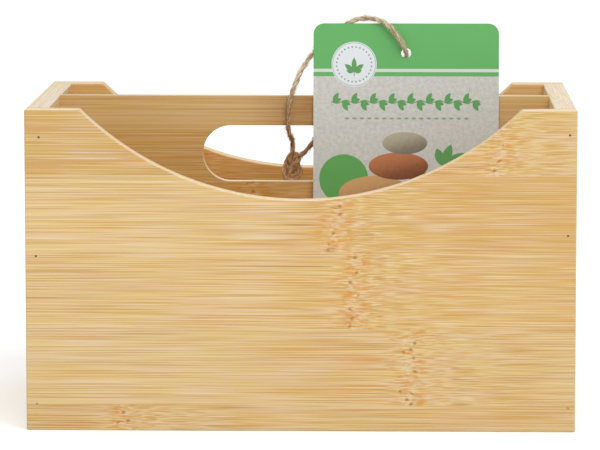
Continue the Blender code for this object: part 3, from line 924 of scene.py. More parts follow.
def turned_mesh(name, profile, sides):
    """A closed turned shape. The profile runs from the axis to the axis again, from +Z down."""
    shape = bmesh.new()
    points = [shape.verts.new((x, 0.0, z)) for x, z in profile]
    edges = [shape.edges.new(pair) for pair in zip(points, points[1:])]
    spin = {"cent": (0.0, 0.0, 0.0), "axis": (0.0, 0.0, 1.0), "angle": 2 * math.pi, "steps": sides}
    bmesh.ops.spin(shape, geom=points + edges, **spin)
    bmesh.ops.remove_doubles(shape, verts=shape.verts, dist=1e-7)
    bmesh.ops.recalc_face_normals(shape, faces=shape.faces)
    return written(shape, bpy.data.meshes.new(name))


def brad_holes(name, places):
    """One cutter with the hole of every brad at the given places, each with a small funnel at its mouth."""
    head, shank = BRAD_HEAD_RADIUS + BRAD_FIT, BRAD_RADIUS + BRAD_FIT
    shoulder = -BRAD_SET - BRAD_HEAD - BRAD_FIT
    profile = [
        (0.0, BRAD_MOUTH),
        (2 * BRAD_MOUTH_RADIUS - head, BRAD_MOUTH),
        (head, -BRAD_MOUTH),
        (head, shoulder),
        (shank, shoulder),
        (shank, -BRAD_SET - BRAD_LENGTH),
        (0.0, -BRAD_SET - BRAD_LENGTH - BRAD_FIT),
    ]
    one = turned_mesh(name + "_hole", profile, BRAD_SIDES)
    shape = bmesh.new()
    for _, place, outward in places:
        start = len(shape.verts)
        shape.from_mesh(one)
        shape.verts.ensure_lookup_table()
        turn = Matrix.Translation(place) @ outward.to_track_quat("Z", "Y").to_matrix().to_4x4()
        bmesh.ops.transform(shape, matrix=turn, verts=shape.verts[start:])
    return new_piece(name, written(shape, bpy.data.meshes.new(name)))


def groove_cutter():
    reach_x, reach_y = INNER_HALF_WIDTH + GROOVE_DEPTH, INNER_HALF_DEPTH + GROOVE_DEPTH
    low = (-reach_x, -reach_y, FLOOR_LIFT - GLUE_LINE)
    high = (reach_x, reach_y, FLOOR_TOP + GLUE_LINE)
    return new_piece("floor_groove", box_shape("floor_groove", low, high))


def standing(middle=(0.0, 0.0, 0.0), turn=0.0):
    """Stands a flat shape up, with the middle of its thickness at a place."""
    return Matrix.Translation(middle) @ Matrix.Rotation(turn, 4, "Z") @ Matrix.Rotation(QUARTER, 4, "X")


class ORGANIZER_OT_panels(bpy.types.Operator):
    """Build the front and back panels, each with its scoop, floor groove and brad holes"""

    bl_idname = "organizer.panels"
    bl_label = "Scooped Panels"

    def execute(self, context):
        front_strips = [
            Strip(-0.0800, 0.00, 0.54, 0.1),
            Strip(0.0495, 0.10, 0.67, 0.32),
            Strip(0.0250, 0.45, 0.54, 0.3),
            Strip(0.0160, 0.45, 0.50, 0.75),
            Strip(0.0890, 0.25, 0.43, -0.35),
        ]
        back_strips = [
            *(Strip() for _ in range(3)),
            Strip(None, 1.0, 0.36, -0.5),
            Strip(None, 0.15, 0.80, -0.4),
        ]
        half = BOX_WIDTH / 2
        faces = {
            "front": (-1, Grain(half, strips=front_strips, contrast=0.92, seed=2)),
            "back": (1, Grain(half, strips=back_strips, contrast=0.7, seed=4)),
        }
        # The back panel's tint is painted warm bounce light
        faces["back"][1].tint = BACK_PAINTED_BOUNCE_TINT
        faces["back"][1].edge_tint = BACK_EDGE_TINT
        for face, (side, grain) in faces.items():
            name = face + "_panel"
            outer = side * BOX_DEPTH / 2
            turn = standing((0.0, outer - side * PANEL_THICKNESS / 2, 0.0))
            blank = flat_shape(name, [scooped_outline()], PANEL_THICKNESS, turn)

            def radius_at(middle, outer=outer, face=face):
                on_outer_face = abs(middle.y - outer) < GLUE_LINE
                on_top = middle.z > BOX_HEIGHT - SCOOP_DEPTH - GLUE_LINE
                in_scoop = on_top and abs(middle.x) < SCOOP_WIDTH / 2
                inside_ends = abs(middle.x) < INNER_HALF_WIDTH
                at_corner = abs(middle.y - outer) < PANEL_THICKNESS - GLUE_LINE
                if face == "front" and in_scoop and not on_outer_face:
                    return SCOOP_EASE
                return EDGE_EASE if on_outer_face or at_corner or on_top and inside_ends else 0.0

            cutters = [groove_cutter(), brad_holes(name + "_brads", brad_places(face=face))]
            dress_board(name, blank, grain, 1, radius_at, cutters)
        return {"FINISHED"}


class ORGANIZER_OT_ends(bpy.types.Operator):
    """Build the left and right ends, between the panels"""

    bl_idname = "organizer.ends"
    bl_label = "End Panels"

    def execute(self, context):
        half_depth = INNER_HALF_DEPTH - GLUE_LINE
        for end, side in (("left", -1), ("right", 1)):
            name = end + "_end_panel"
            outer, inner = side * BOX_WIDTH / 2, side * INNER_HALF_WIDTH
            low = (min(outer, inner), -half_depth, 0.0)
            high = (max(outer, inner), half_depth, BOX_HEIGHT)
            # The ends' tint is painted light on their faces
            grain = Grain(half_depth, ALONG_Y, first_strip=0.022, tint=END_PAINTED_LIGHT_TINT, seed=11 + side)
            grain.edge_tint = END_EDGE_TINT

            def radius_at(middle, outer=outer):
                lengthwise = abs(middle.y) < GLUE_LINE
                at_top = middle.z > BOX_HEIGHT - GLUE_LINE
                at_outer_foot = middle.z < GLUE_LINE and abs(middle.x - outer) < GLUE_LINE
                return EDGE_EASE if lengthwise and (at_top or at_outer_foot) else 0.0

            cutters = [groove_cutter(), brad_holes(name + "_brads", brad_places(end=end))]
            dress_board(name, box_shape(name, low, high), grain, 0, radius_at, cutters)
        return {"FINISHED"}


class ORGANIZER_OT_dividers(bpy.types.Operator):
    """Build the carrying board with its handle slot, and the low board that crosses it"""

    bl_idname = "organizer.dividers"
    bl_label = "Carrying Board and Cross Divider"

    def execute(self, context):
        # The inner boards' painted shade
        inner_painted_shade = tuple(context.scene.organizer_bamboo.inner)
        half = INNER_HALF_WIDTH - GLUE_LINE
        foot = FLOOR_TOP + GLUE_LINE
        notch_half = CROSS_THICKNESS / 2 + GLUE_LINE
        notch_top = HALVING_HEIGHT + GLUE_LINE / 2
        outline = [
            (-notch_half, foot),
            (-notch_half, notch_top),
            (notch_half, notch_top),
            (notch_half, foot),
            (half, foot),
            (half, BOX_HEIGHT),
            (-half, BOX_HEIGHT),
            (-half, foot),
        ]
        blank = flat_shape("centre_board", [outline, slot_outline()], CENTRE_THICKNESS, standing())
        # The top strip is paler, and the strip below it darker and more orange, partly as painted shade that deepens
        # lower in the box
        strips = [
            *(Strip() for _ in range(3)),
            # Darker towards its right end, partly as painted shadow of the tag and twine
            Strip(-0.0235, 0.50, 0.22, 0.6),
            # The handle bar, with a painted shadow of the tag and twine round its node
            Strip(0.010, 0.20, 0.88, tag_shadow=1.0),
        ]
        grain = Grain(half, first_strip=0.0265, strips=strips, tint=inner_painted_shade, contrast=0.55, seed=21)

        def slot_radius_at(middle):
            in_slot_reach = abs(middle.x) < SLOT_LENGTH / 2 + GLUE_LINE
            in_slot_height = abs(middle.z - SLOT_CENTRE) < SLOT_HEIGHT / 2 + GLUE_LINE
            if in_slot_reach and in_slot_height:
                return SLOT_EASE
            on_top = middle.z > BOX_HEIGHT - GLUE_LINE
            return EDGE_EASE if on_top and abs(middle.x) < INNER_HALF_WIDTH / 2 else 0.0

        cutters = [brad_holes("centre_board_brads", brad_places(face="centre"))]
        dress_board("centre_board", blank, grain, 1, slot_radius_at, cutters)

        half = INNER_HALF_DEPTH - GLUE_LINE
        notch_half = CENTRE_THICKNESS / 2 + GLUE_LINE
        notch_foot = HALVING_HEIGHT - GLUE_LINE / 2
        outline = [
            (-half, foot),
            (half, foot),
            (half, CROSS_TOP),
            (notch_half, CROSS_TOP),
            (notch_half, notch_foot),
            (-notch_half, notch_foot),
            (-notch_half, CROSS_TOP),
            (-half, CROSS_TOP),
        ]
        blank = flat_shape("cross_divider", [outline], CROSS_THICKNESS, standing(turn=QUARTER))
        grain = Grain(half, ALONG_Y, first_strip=0.030, tint=inner_painted_shade, seed=31)

        def top_radius_at(middle):
            clear_of_walls = CENTRE_THICKNESS < abs(middle.y) < INNER_HALF_DEPTH - PANEL_THICKNESS
            return EDGE_EASE if middle.z > CROSS_TOP - GLUE_LINE and clear_of_walls else 0.0

        dress_board("cross_divider", blank, grain, 0, top_radius_at)
        return {"FINISHED"}


class ORGANIZER_OT_floor(bpy.types.Operator):
    """Build the floor board, which sits in the walls' groove"""

    bl_idname = "organizer.floor"
    bl_label = "Floor Board"

    def execute(self, context):
        reach_x = INNER_HALF_WIDTH + GROOVE_DEPTH - GLUE_LINE
        reach_y = INNER_HALF_DEPTH + GROOVE_DEPTH - GLUE_LINE
        low, high = (-reach_x, -reach_y, FLOOR_LIFT), (reach_x, reach_y, FLOOR_TOP)
        grain = Grain(reach_x, LYING, -reach_y, reach_y, first_strip=0.020, seed=41)
        # The floor board takes the inner boards' painted shade too
        grain.tint = tuple(context.scene.organizer_bamboo.inner)

        def radius_at(middle):
            return EDGE_EASE / 4 if middle.z > FLOOR_LIFT else 0.0

        dress_board("floor_board", box_shape("floor_board", low, high), grain, 2, radius_at)
        return {"FINISHED"}


def recipe(name, settings):
    """A Geometry Nodes tree with a named input for each setting, and the wires of its inputs."""
    tree = bpy.data.node_groups.new(name, "GeometryNodeTree")
    tree.interface.new_socket("Geometry", in_out="INPUT", socket_type="NodeSocketGeometry")
    for label, kind in settings.items():
        tree.interface.new_socket(label, in_out="INPUT", socket_type="NodeSocket" + kind)
    tree.interface.new_socket("Geometry", in_out="OUTPUT", socket_type="NodeSocketGeometry")
    wiring = Wiring(tree)
    return tree, wiring, wiring.node("NodeGroupInput")


def hand_out(wiring, geometry, material):
    """Ends a tree: real copies, with their material."""
    real = wiring.node("GeometryNodeRealizeInstances", {0: geometry})
    painted = wiring.node("GeometryNodeSetMaterial", {"Geometry": real, "Material": material})
    end = wiring.tree.nodes.new("NodeGroupOutput")
    wiring.feed(end.inputs["Geometry"], painted)


def grow(maker, tree, values, name):
    """Runs a tree on an object, and gives the mesh that comes out."""
    modifier = maker.modifiers.new(tree.name, "NODES")
    modifier.node_group = tree
    for item in tree.interface.items_tree:
        if item.in_out == "INPUT" and item.name in values:
            modifier[item.identifier] = values[item.name]
    return as_mesh(maker, name)


def named_vector(wiring, name):
    return wiring.node("GeometryNodeInputNamedAttribute", {"Name": name}, data_type="FLOAT_VECTOR")


def store(wiring, geometry, name, value, kind="FLOAT"):
    """Writes a value on each point, under a name that the material or a later node reads."""
    inputs = {"Geometry": geometry, "Name": name, "Value": value}
    return wiring.node("GeometryNodeStoreNamedAttribute", inputs, data_type=kind, domain="POINT")


def together(wiring, geometries):
    joint = wiring.node("GeometryNodeJoinGeometry")
    for geometry in geometries:
        wiring.tree.links.new(geometry.socket, joint.socket.node.inputs[0])
    return joint


def brad_recipe():
    """Puts a brad at each point, turned along the point's outward direction."""
    tree, wiring, given = recipe("driven_brads", {"Brad": "Object", "Finish": "Material"})
    brad = wiring.node("GeometryNodeObjectInfo", {"Object": given["Brad"]}, "Geometry")
    outward = named_vector(wiring, "outward")
    turn = wiring.node("FunctionNodeAlignRotationToVector", {"Vector": outward}, axis="Z")
    inputs = {"Points": given["Geometry"], "Instance": brad, "Rotation": turn}
    driven = wiring.node("GeometryNodeInstanceOnPoints", inputs)
    hand_out(wiring, driven, given["Finish"])
    return tree


class ORGANIZER_OT_brads(bpy.types.Operator):
    """Drive the brads through the panels and the ends"""

    bl_idname = "organizer.brads"
    bl_label = "Brads"

    def execute(self, context):
        profile = [
            (0.0, -BRAD_SET + BRAD_CROWN),
            (BRAD_HEAD_RADIUS * 0.7, -BRAD_SET),
            (BRAD_HEAD_RADIUS, -BRAD_SET - BRAD_BEVEL),
            (BRAD_HEAD_RADIUS, -BRAD_SET - BRAD_HEAD),
            (BRAD_RADIUS, -BRAD_SET - BRAD_HEAD),
            (BRAD_RADIUS, -BRAD_SET - BRAD_LENGTH + BRAD_POINT),
            (0.0, -BRAD_SET - BRAD_LENGTH),
        ]
        template = new_piece("brad", turned_mesh("brad", profile, BRAD_SIDES))
        places = brad_places()
        mesh = bpy.data.meshes.new("brad_points")
        mesh.from_pydata([place for _, place, _ in places], [], [])
        outward = mesh.attributes.new("outward", "FLOAT_VECTOR", "POINT")
        for entry, (_, _, direction) in zip(outward.data, places):
            entry.vector = direction
        values = {"Brad": template, "Finish": steel()}
        mesh = grow(new_piece("brad_points", mesh), brad_recipe(), values, "brads")
        discard(template)
        brads = new_piece("brads", mesh)
        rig.ride(brads, "box")
        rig.replaces(brads, *[name for name, _, _ in places])
        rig.slot(brads, "brad_steel")
        return {"FINISHED"}


def smooth_route(route, spacing):
    """Evenly spaced points on the smooth curve through a route's own points, and its length."""
    points = [Vector(p) for p in route]
    ends = [2 * points[0] - points[1], *points, 2 * points[-1] - points[-2]]
    fine = []
    for before, start, end, after in zip(ends, ends[1:], ends[2:], ends[3:]):
        for sample in range(CURVE_SAMPLES):
            t = sample / CURVE_SAMPLES
            straight = 2 * start + (end - before) * t
            bent = (2 * before - 5 * start + 4 * end - after) * t**2
            fine.append((straight + bent + (3 * start - before - 3 * end + after) * t**3) / 2)
    fine.append(points[-1])
    reached = [0.0]
    for start, end in zip(fine, fine[1:]):
        reached.append(reached[-1] + (end - start).length)
    count = max(2, round(reached[-1] / spacing))
    even = []
    index = 0
    for step in range(count + 1):
        goal = reached[-1] * step / count
        while index < len(fine) - 2 and reached[index + 1] < goal:
            index += 1
        share = (goal - reached[index]) / (reached[index + 1] - reached[index])
        even.append(fine[index].lerp(fine[index + 1], share))
    return even, reached[-1]


def loose_fibres(wiring, laid, given):
    """Thin bent tubes that stand out from the plies, each copy turned and scaled at random."""
    node, seed, reach = wiring.node, given["Seed"], given["Fibre length"]
    bent = {
        "Resolution": 4,
        "Start": (0.0, 0.0, 0.0),
        "Middle": wiring.at(reach * 0.35, 0.0, reach * 0.30),
        "End": wiring.at(reach, 0.0, reach * 0.22),
    }
    middle = node("GeometryNodeCurveQuadraticBezier", bent)
    thin = node("GeometryNodeCurvePrimitiveCircle", {"Resolution": 3, "Radius": given["Fibre radius"]})
    inputs = {"Curve": middle, "Profile Curve": thin, "Fill Caps": True}
    fibre = store(wiring, node("GeometryNodeCurveToMesh", inputs), "hair", 1.0)
    inputs = {"Mesh": laid, "Density": given["Fibres per area"], "Seed": seed}
    roots = node("GeometryNodeDistributePointsOnFaces", inputs)
    most = 0.45
    inputs = {"Min": (-most, -most, -most), "Max": (most, most, most), "Seed": seed}
    random_lean = node("FunctionNodeRandomValue", inputs, data_type="FLOAT_VECTOR")
    lean = wiring.pairwise("ADD", roots["Normal"], random_lean)
    turn = node("FunctionNodeAlignRotationToVector", {"Vector": lean}, axis="Z")
    way = wiring.pairwise("ADD", random_lean, named_vector(wiring, "run"))
    inputs = {"Rotation": turn, "Vector": way}
    spun = node("FunctionNodeAlignRotationToVector", inputs, axis="X", pivot_axis="Z")
    size = node("FunctionNodeRandomValue", {2: 0.45, 3: 1.0, "Seed": seed}, 1, data_type="FLOAT")
    inputs = {"Points": roots["Points"], "Instance": fibre, "Rotation": spun}
    return node("GeometryNodeInstanceOnPoints", inputs | {"Scale": wiring.at(size, size, size)})


def twine_recipe():
    """Two plies laid round each other along a curve, with loose fibres that stand out from them."""
    settings = {
        "Spacing": "Float",
        "Start": "Float",
        "Ply radius": "Float",
        "Lay radius": "Float",
        "Twist": "Float",
        "Sides": "Int",
        "Fibres per area": "Float",
        "Fibre length": "Float",
        "Fibre radius": "Float",
        "Seed": "Int",
        "Finish": "Material",
    }
    tree, wiring, given = recipe("laid_twine", settings)
    node = wiring.node
    inputs = {"Curve": given["Geometry"], "Length": given["Spacing"]}
    curve = node("GeometryNodeResampleCurve", inputs, mode="LENGTH")
    reached = node("GeometryNodeSplineParameter", output="Length")
    tangent = node("GeometryNodeInputTangent")
    inputs = {"Resolution": given["Sides"], "Radius": given["Ply radius"]}
    circle = node("GeometryNodeCurvePrimitiveCircle", inputs)
    circle = store(wiring, circle, "around", node("GeometryNodeSplineParameter", output="Factor"))
    plies = []
    for phase in (0.0, math.pi):
        angle = reached / given["Twist"] * (2 * math.pi) + phase
        inputs = {"Vector": node("GeometryNodeInputNormal"), "Axis": tangent, "Angle": angle}
        spoke = node("ShaderNodeVectorRotate", inputs, rotation_type="AXIS_ANGLE")
        offset = wiring.scaled(spoke, given["Lay radius"])
        ply = node("GeometryNodeSetPosition", {"Geometry": curve, "Offset": offset})
        ply = store(wiring, ply, "along", reached + given["Start"] + phase)
        ply = store(wiring, ply, "run", tangent, "FLOAT_VECTOR")
        inputs = {"Curve": ply, "Profile Curve": circle, "Fill Caps": True}
        plies.append(node("GeometryNodeCurveToMesh", inputs))
    lump_place = wiring.scaled(node("GeometryNodeInputPosition"), 1300.0)
    lump = (wiring.noise(lump_place, 2.0) - 0.5) * given["Ply radius"] * 0.55
    swell = wiring.scaled(node("GeometryNodeInputNormal"), lump)
    inputs = {"Geometry": together(wiring, plies), "Offset": swell}
    laid = node("GeometryNodeSetShadeSmooth", {0: node("GeometryNodeSetPosition", inputs)})
    both = together(wiring, (laid, loose_fibres(wiring, laid, given)))
    hand_out(wiring, both, given["Finish"])
    return tree


def twine_mesh(name, paths, seed, start=0.0, fuzz_share=1.0, ply_share=1.0):
    """Laid twine along each of the paths, as one mesh."""
    look = bpy.context.scene.organizer_twine
    curve = bpy.data.curves.new(name, "CURVE")
    curve.dimensions = "3D"
    for path in paths:
        spline = curve.splines.new("POLY")
        spline.points.add(len(path) - 1)
        for target, point in zip(spline.points, path):
            target.co = (*point, 1.0)
    values = {
        "Spacing": TWINE_SPACING,
        "Start": start,
        "Ply radius": look.ply * ply_share,
        "Lay radius": look.lay,
        "Twist": look.pitch,
        "Sides": PLY_SIDES,
        "Fibres per area": look.fuzz * fuzz_share * FUZZ_STEP,
        "Fibre length": look.fuzz_length,
        "Fibre radius": FIBRE_RADIUS,
        "Seed": seed,
        "Finish": bpy.data.materials.get("jute_fibre") or jute(),
    }
    tree = bpy.data.node_groups.get("laid_twine") or twine_recipe()
    return grow(new_piece(name, curve), tree, values, name)


class ORGANIZER_OT_twine(bpy.types.Operator):
    """Lay the twine from the knot over the handle bar, through the tag's hole and back"""

    bl_idname = "organizer.twine"
    bl_label = "Twine"

    def execute(self, context):
        path, length = smooth_route(TWINE_ROUTE, ROUTE_SPACING)
        twine = new_piece("twine", twine_mesh("twine", [path], TWINE_SEED))
        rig.replaces(twine, "tag_twine")
        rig.slot(twine, "jute_twine")
        start, end = FOLLOW_DIRECTION * FOLLOW_START, FOLLOW_DIRECTION * FOLLOW_END
        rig.blend(twine, "twine_loop", "hang_tag", start, end)
        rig.cord(
            twine,
            exit=TWINE_ROUTE[0],
            length=length,
            diameter=TWINE_DIAMETER,
            far_end="knot",
            stiffness="limp",
            lay="hanging",
            path=path,
            with_pieces=["knot"],
        )
        return {"FINISHED"}


def loose_knot(size, count):
    """A wide open overhand knot as evenly spaced points, from one long end to the other."""
    turn = np.linspace(math.pi + 0.5, 3 * math.pi - 0.5, 200)
    across = np.sin(turn) + 2 * np.sin(2 * turn)
    up = np.cos(turn) - 2 * np.cos(2 * turn)
    body = np.stack([across, up, -np.sin(3 * turn)], 1)
    start = np.array([[6.0, -1.6, 0.0], [4.5, -2.4, 0.0], [3.0, -3.1, 0.2], [1.6, -3.0, 0.5]])
    end = start[::-1] * [-1.0, 1.0, -1.0]
    line = np.concatenate([start, body, end]) * size
    reached = np.concatenate([[0.0], np.cumsum(np.linalg.norm(np.diff(line, axis=0), axis=1))])
    wanted = np.linspace(0.0, reached[-1], count)
    return np.stack([np.interp(wanted, reached, line[:, k]) for k in range(3)], 1)


def tight_knot(strand, count):
    """Pulls the loose knot's ends apart until it is tight. Strands keep clear of each other by one strand."""
    points = loose_knot(KNOT_LOOSE_SIZE * strand, count)
    link = np.linalg.norm(points[1] - points[0])
    first, second = np.triu_indices(count, math.ceil(strand * KNOT_NEIGHBOURS / link))
    for _ in range(KNOT_PULLS):
        points[[0, -1]] *= [1.0, 0.9, 0.9]
        points[0, 0] += KNOT_PULL * strand
        points[-1, 0] -= KNOT_PULL * strand
        held = points[[0, -1]].copy()
        for _ in range(KNOT_SETTLINGS):
            # Links keep their length
            for parity in (0, 1):
                near = np.arange(parity, count - 1, 2)
                gap = points[near + 1] - points[near]
                reach = np.linalg.norm(gap, axis=1, keepdims=True)
                shift = gap * (0.5 * (reach - link) / reach)
                points[near] += shift
                points[near + 1] -= shift

            # Bends straighten a little
            bend = (points[:-2] + points[2:]) / 2 - points[1:-1]
            points[1:-1] += KNOT_STRAIGHTEN * bend
            points[:-2] -= KNOT_STRAIGHTEN / 2 * bend
            points[2:] -= KNOT_STRAIGHTEN / 2 * bend

            # Strands that come too close push each other off
            gap = points[second] - points[first]
            reach = np.linalg.norm(gap, axis=1)
            close = reach < strand
            part = KNOT_PUSH * (strand - reach[close]) / np.maximum(reach[close], 1e-6)
            push = gap[close] * part[:, None]
            np.add.at(points, second[close], push)
            np.add.at(points, first[close], -push)
            points[[0, -1]] = held
        stretch = np.linalg.norm(np.diff(points, axis=0), axis=1).mean() / link
        if stretch > KNOT_MOST_STRETCH:
            break
    return points


class ORGANIZER_OT_knot(bpy.types.Operator):
    """Tie the overhand knot that closes the loop"""

    bl_idname = "organizer.knot"
    bl_label = "Knot"

    def execute(self, context):
        look = context.scene.organizer_twine
        local = tight_knot(KNOT_STRAND, KNOT_POINTS) / 1000
        turn = Matrix.Rotation(KNOT_TURN, 3, "Z")
        middle = [KNOT_CENTRE + turn @ Vector((p[1], -p[2], p[0])) * KNOT_SCALE for p in local]
        middle = [p for p in middle if -KNOT_TAIL < p.z - KNOT_CENTRE.z < KNOT_NECK]
        strands = []
        for side, start in ((-1, TWINE_ROUTE[:2]), (1, TWINE_ROUTE[:-3:-1])):
            route = [Vector(start[1]).lerp(Vector(start[0]), 0.6), Vector(start[0])]
            across = Vector((1.0, 0.0, 0.0))
            for before, point, after in zip(middle, middle[1:], middle[2:]):
                tangent = (after - before).normalized()
                across = (across - tangent * across.dot(tangent)).normalized()
                route.append(point + across * side * look.ply * KNOT_APART)
            strands.append(smooth_route(route, ROUTE_SPACING)[0])
        mesh = twine_mesh("knot", strands, KNOT_SEED, KNOT_START, KNOT_FUZZ_SHARE, KNOT_PLY_SHARE)
        knot = new_piece("knot", mesh)
        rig.ride(knot, "twine_loop")
        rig.replaces(knot, "twine_knot")
        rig.slot(knot, "jute_twine")
        return {"FINISHED"}


class Print:
    """Flat shapes drawn on the card, in millimetres to the right and down from its upper left corner."""

    SOFT = 0.12

    def __init__(self, wiring):
        self.wiring = wiring
        across, up, _ = wiring.parts(wiring.node("ShaderNodeUVMap", uv_map="print"))
        self.x = across
        self.y = TAG_HEIGHT * 1000 - up

    def repeat(self, value, period):
        return self.wiring.sum_of("FLOORED_MODULO", value, period)

    def bar(self, value, middle, half):
        return self.wiring.inside(self.wiring.absolute(value - middle), half, self.SOFT)

    def oval(self, x, y, half_width, half_height):
        place = self.wiring.at(x / half_width, y / half_height)
        return self.wiring.inside(self.wiring.length(place), 1.0, self.SOFT / half_height)

    def leaf(self, x, y, reach, width, angle):
        """A pointed leaf from its stalk at 0, 0. The angle is counted from the right, upwards."""
        cos, sin = math.cos(math.radians(angle)), math.sin(math.radians(angle))
        ahead = (x * cos - y * sin) / reach
        beside = self.wiring.absolute(x * sin + y * cos)
        belly = ahead * (1.0 - ahead) * (2.0 * width)
        return self.wiring.ease(belly - beside, -self.SOFT / 2, self.SOFT / 2)


def card():
    """The printed card: a green band, a badge, a garland and a pile of pebbles on speckled card."""
    look = bpy.context.scene.organizer_tag
    material, wiring, shader = new_finish("printed_card")
    at, noise, ease, mix = wiring.at, wiring.noise, wiring.ease, wiring.mix
    ink = Print(wiring)
    x, y = ink.x, ink.y

    cloud = noise(at(x * 0.5, y * 0.5), 3.0, 0.6)
    kraft = mix(ease(cloud, 0.18, 0.82), [c * CARD_SHADE for c in look.card], look.card)
    threads = noise(at(x * 0.8 + cloud * 3.0, y * 3.2), 2.0)
    kraft = mix(ease(threads, 0.60, 0.72) * 0.35, kraft, CARD_THREAD)
    grit = wiring.dots(at(x * 0.75, y * 0.75))
    kraft = mix(ease(grit, 0.15, 0.07) * 0.45, kraft, CARD_GRIT)
    colour = kraft

    def paint(share, shade):
        nonlocal colour
        colour = mix(share, colour, shade)

    paint(ink.bar(y, *CREAM_LINE), look.line)
    paint(ink.bar(y, *GREEN_LINE), look.green)
    paint(wiring.inside(y, BAND_FOOT, ink.SOFT), look.green)

    # The badge: a pale disc with a ring of beads round a sprout
    bx, by = x - BADGE[0], y - BADGE[1]
    paint(ink.oval(bx, by, BADGE_RADIUS, BADGE_RADIUS), look.badge)
    reach = wiring.length(at(bx, by))
    paint(ink.bar(reach, *BADGE_RIM) * 0.7, look.leaf)
    turn = wiring.sum_of("ARCTAN2", by, bx) * BEAD_RING
    bead_x = ink.repeat(turn, 2 * math.pi * BEAD_RING / BEAD_COUNT) - math.pi * BEAD_RING / BEAD_COUNT
    paint(ink.oval(bead_x, reach - BEAD_RING, BEAD_RADIUS, BEAD_RADIUS) * 0.8, look.leaf)
    for angle, size in SPROUT_LEAVES:
        paint(ink.leaf(bx, by - SPROUT_DROP, size, 2.3, angle), look.leaf)
    paint(ink.bar(bx, 0.0, 0.18) * ink.bar(by, SPROUT_DROP + 1.0, 1.2), look.leaf)

    # The garland, with a row of seeds below it
    within = ink.bar(x, *GARLAND_REACH)
    wave = wiring.sum_of("SINE", x * (2 * math.pi / GARLAND_PERIOD)) * 0.7
    paint(ink.bar(y - wave, GARLAND, 0.25) * within, look.leaf)
    for start, side in ((0.0, 1), (GARLAND_PERIOD / 2, -1)):
        step = ink.repeat(x + start, GARLAND_PERIOD) - 0.4
        for angle, size in GARLAND_LEAVES:
            paint(ink.leaf(step, y - GARLAND, size, 2.2, side * angle) * within, look.leaf)
    seeds = ink.oval(ink.repeat(x, SEED_PERIOD) - SEED_PERIOD / 2, y - SEEDS, 1.05, 0.50)
    paint(seeds * ink.bar(x, *SEED_REACH) * 0.75, look.leaf)

    # The pile of pebbles, a green disc behind it and a sprig beside it
    paint(ink.oval(x - DISC[0], y - DISC[1], DISC_RADIUS, DISC_RADIUS), DISC_GREEN)
    for angle, size in SPRIG_LEAVES:
        paint(ink.leaf(x - SPRIG[0], y - SPRIG[1], size, 4.4, angle), look.leaf)
    for px, py, half_width, half_height, bright, dark in PEBBLES:
        shade = (y - py) / half_height + (x - px) / half_width * 0.5 + cloud * 0.8
        stone = mix(ease(shade, -0.6, 1.5), bright, dark)
        paint(ink.oval(x - px, y - py, half_width, half_height), stone)

    colour = mix(wiring.attribute("printed"), kraft, colour)
    finish_surface(wiring, shader, colour, cloud * 0.1 + 0.5, cloud, 0.00003, 0.4)
    return material


class ORGANIZER_OT_tag(bpy.types.Operator):
    """Cut and print the hang tag, and stand it against the carrying board"""

    bl_idname = "organizer.tag"
    bl_label = "Hang Tag"

    def execute(self, context):
        half, low, high = TAG_WIDTH / 2 - TAG_CORNER, TAG_CORNER, TAG_HEIGHT - TAG_CORNER
        outline = []
        for index, centre in enumerate([(-half, low), (half, low), (half, high), (-half, high)]):
            start = math.pi + index * QUARTER
            outline += arc_points(centre, TAG_CORNER, start, start + QUARTER, TAG_CORNER_STEPS)
        hole_centre = (0.0, TAG_HEIGHT - TAG_HOLE_DROP)
        hole = arc_points(hole_centre, TAG_HOLE_RADIUS, 0.0, 2 * math.pi, TAG_HOLE_STEPS)[:-1]
        foot_z = FLOOR_TOP + TAG_CLEARANCE
        rise = BOX_HEIGHT - foot_z
        lean = math.atan2(TAG_FOOT_OUT, rise) - math.asin(TAG_CLEARANCE / math.hypot(TAG_FOOT_OUT, rise))
        front = Vector((0.0, -math.cos(lean), math.sin(lean)))
        foot_x = CROSS_THICKNESS / 2 + TAG_SIDE_GAP + TAG_WIDTH / 2
        foot = Vector((foot_x, -CENTRE_THICKNESS / 2 - TAG_FOOT_OUT, foot_z)) + front * TAG_THICKNESS / 2
        turn = Matrix.Translation(foot) @ Matrix.Rotation(QUARTER - lean, 4, "X")
        mesh = flat_shape("hang_tag_card", [outline, hole], TAG_THICKNESS, turn)
        shape = bmesh.new()
        shape.from_mesh(mesh)
        bmesh.ops.remove_doubles(shape, verts=shape.verts, dist=GLUE_LINE / 4)
        bmesh.ops.recalc_face_normals(shape, faces=shape.faces)
        back = turn.inverted()
        layer = shape.loops.layers.uv.new("print")
        for face in shape.faces:
            for loop in face.loops:
                flat = back @ loop.vert.co
                loop[layer].uv = ((flat.x + TAG_WIDTH / 2) * 1000, flat.y * 1000)
        written(shape, mesh)
        printed = mesh.attributes.new("printed", "FLOAT", "FACE")
        for face in mesh.polygons:
            printed.data[face.index].value = 1.0 if face.normal.dot(front) > 0.9 else 0.0
        tag = new_piece("hang_tag_card", mesh, card())
        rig.ride(tag, "hang_tag")
        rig.replaces(tag, "swing_tag")
        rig.slot(tag, "tag_card")
        return {"FINISHED"}


def add_lamp(name, place, size, power):
    lamp = bpy.data.lights.new(name, "AREA")
    lamp.shape = "RECTANGLE"
    lamp.size, lamp.size_y = size
    lamp.energy = power
    holder = bpy.data.objects.new(name, lamp)
    bpy.context.scene.collection.objects.link(holder)
    holder.location = place
    holder.rotation_euler = (Vector(LAMP_TARGET) - Vector(place)).to_track_quat("-Z", "Y").to_euler()
    return holder


def seen_rays(wiring):
    """1 for rays that show a surface itself, straight or in metal or glass, and 0 for those that light."""
    camera = wiring.node("ShaderNodeLightPath", output="Is Camera Ray")
    mirrored = wiring.sum_of("MAXIMUM", camera["Is Glossy Ray"], camera["Is Transmission Ray"])
    return wiring.sum_of("MAXIMUM", camera, mirrored)


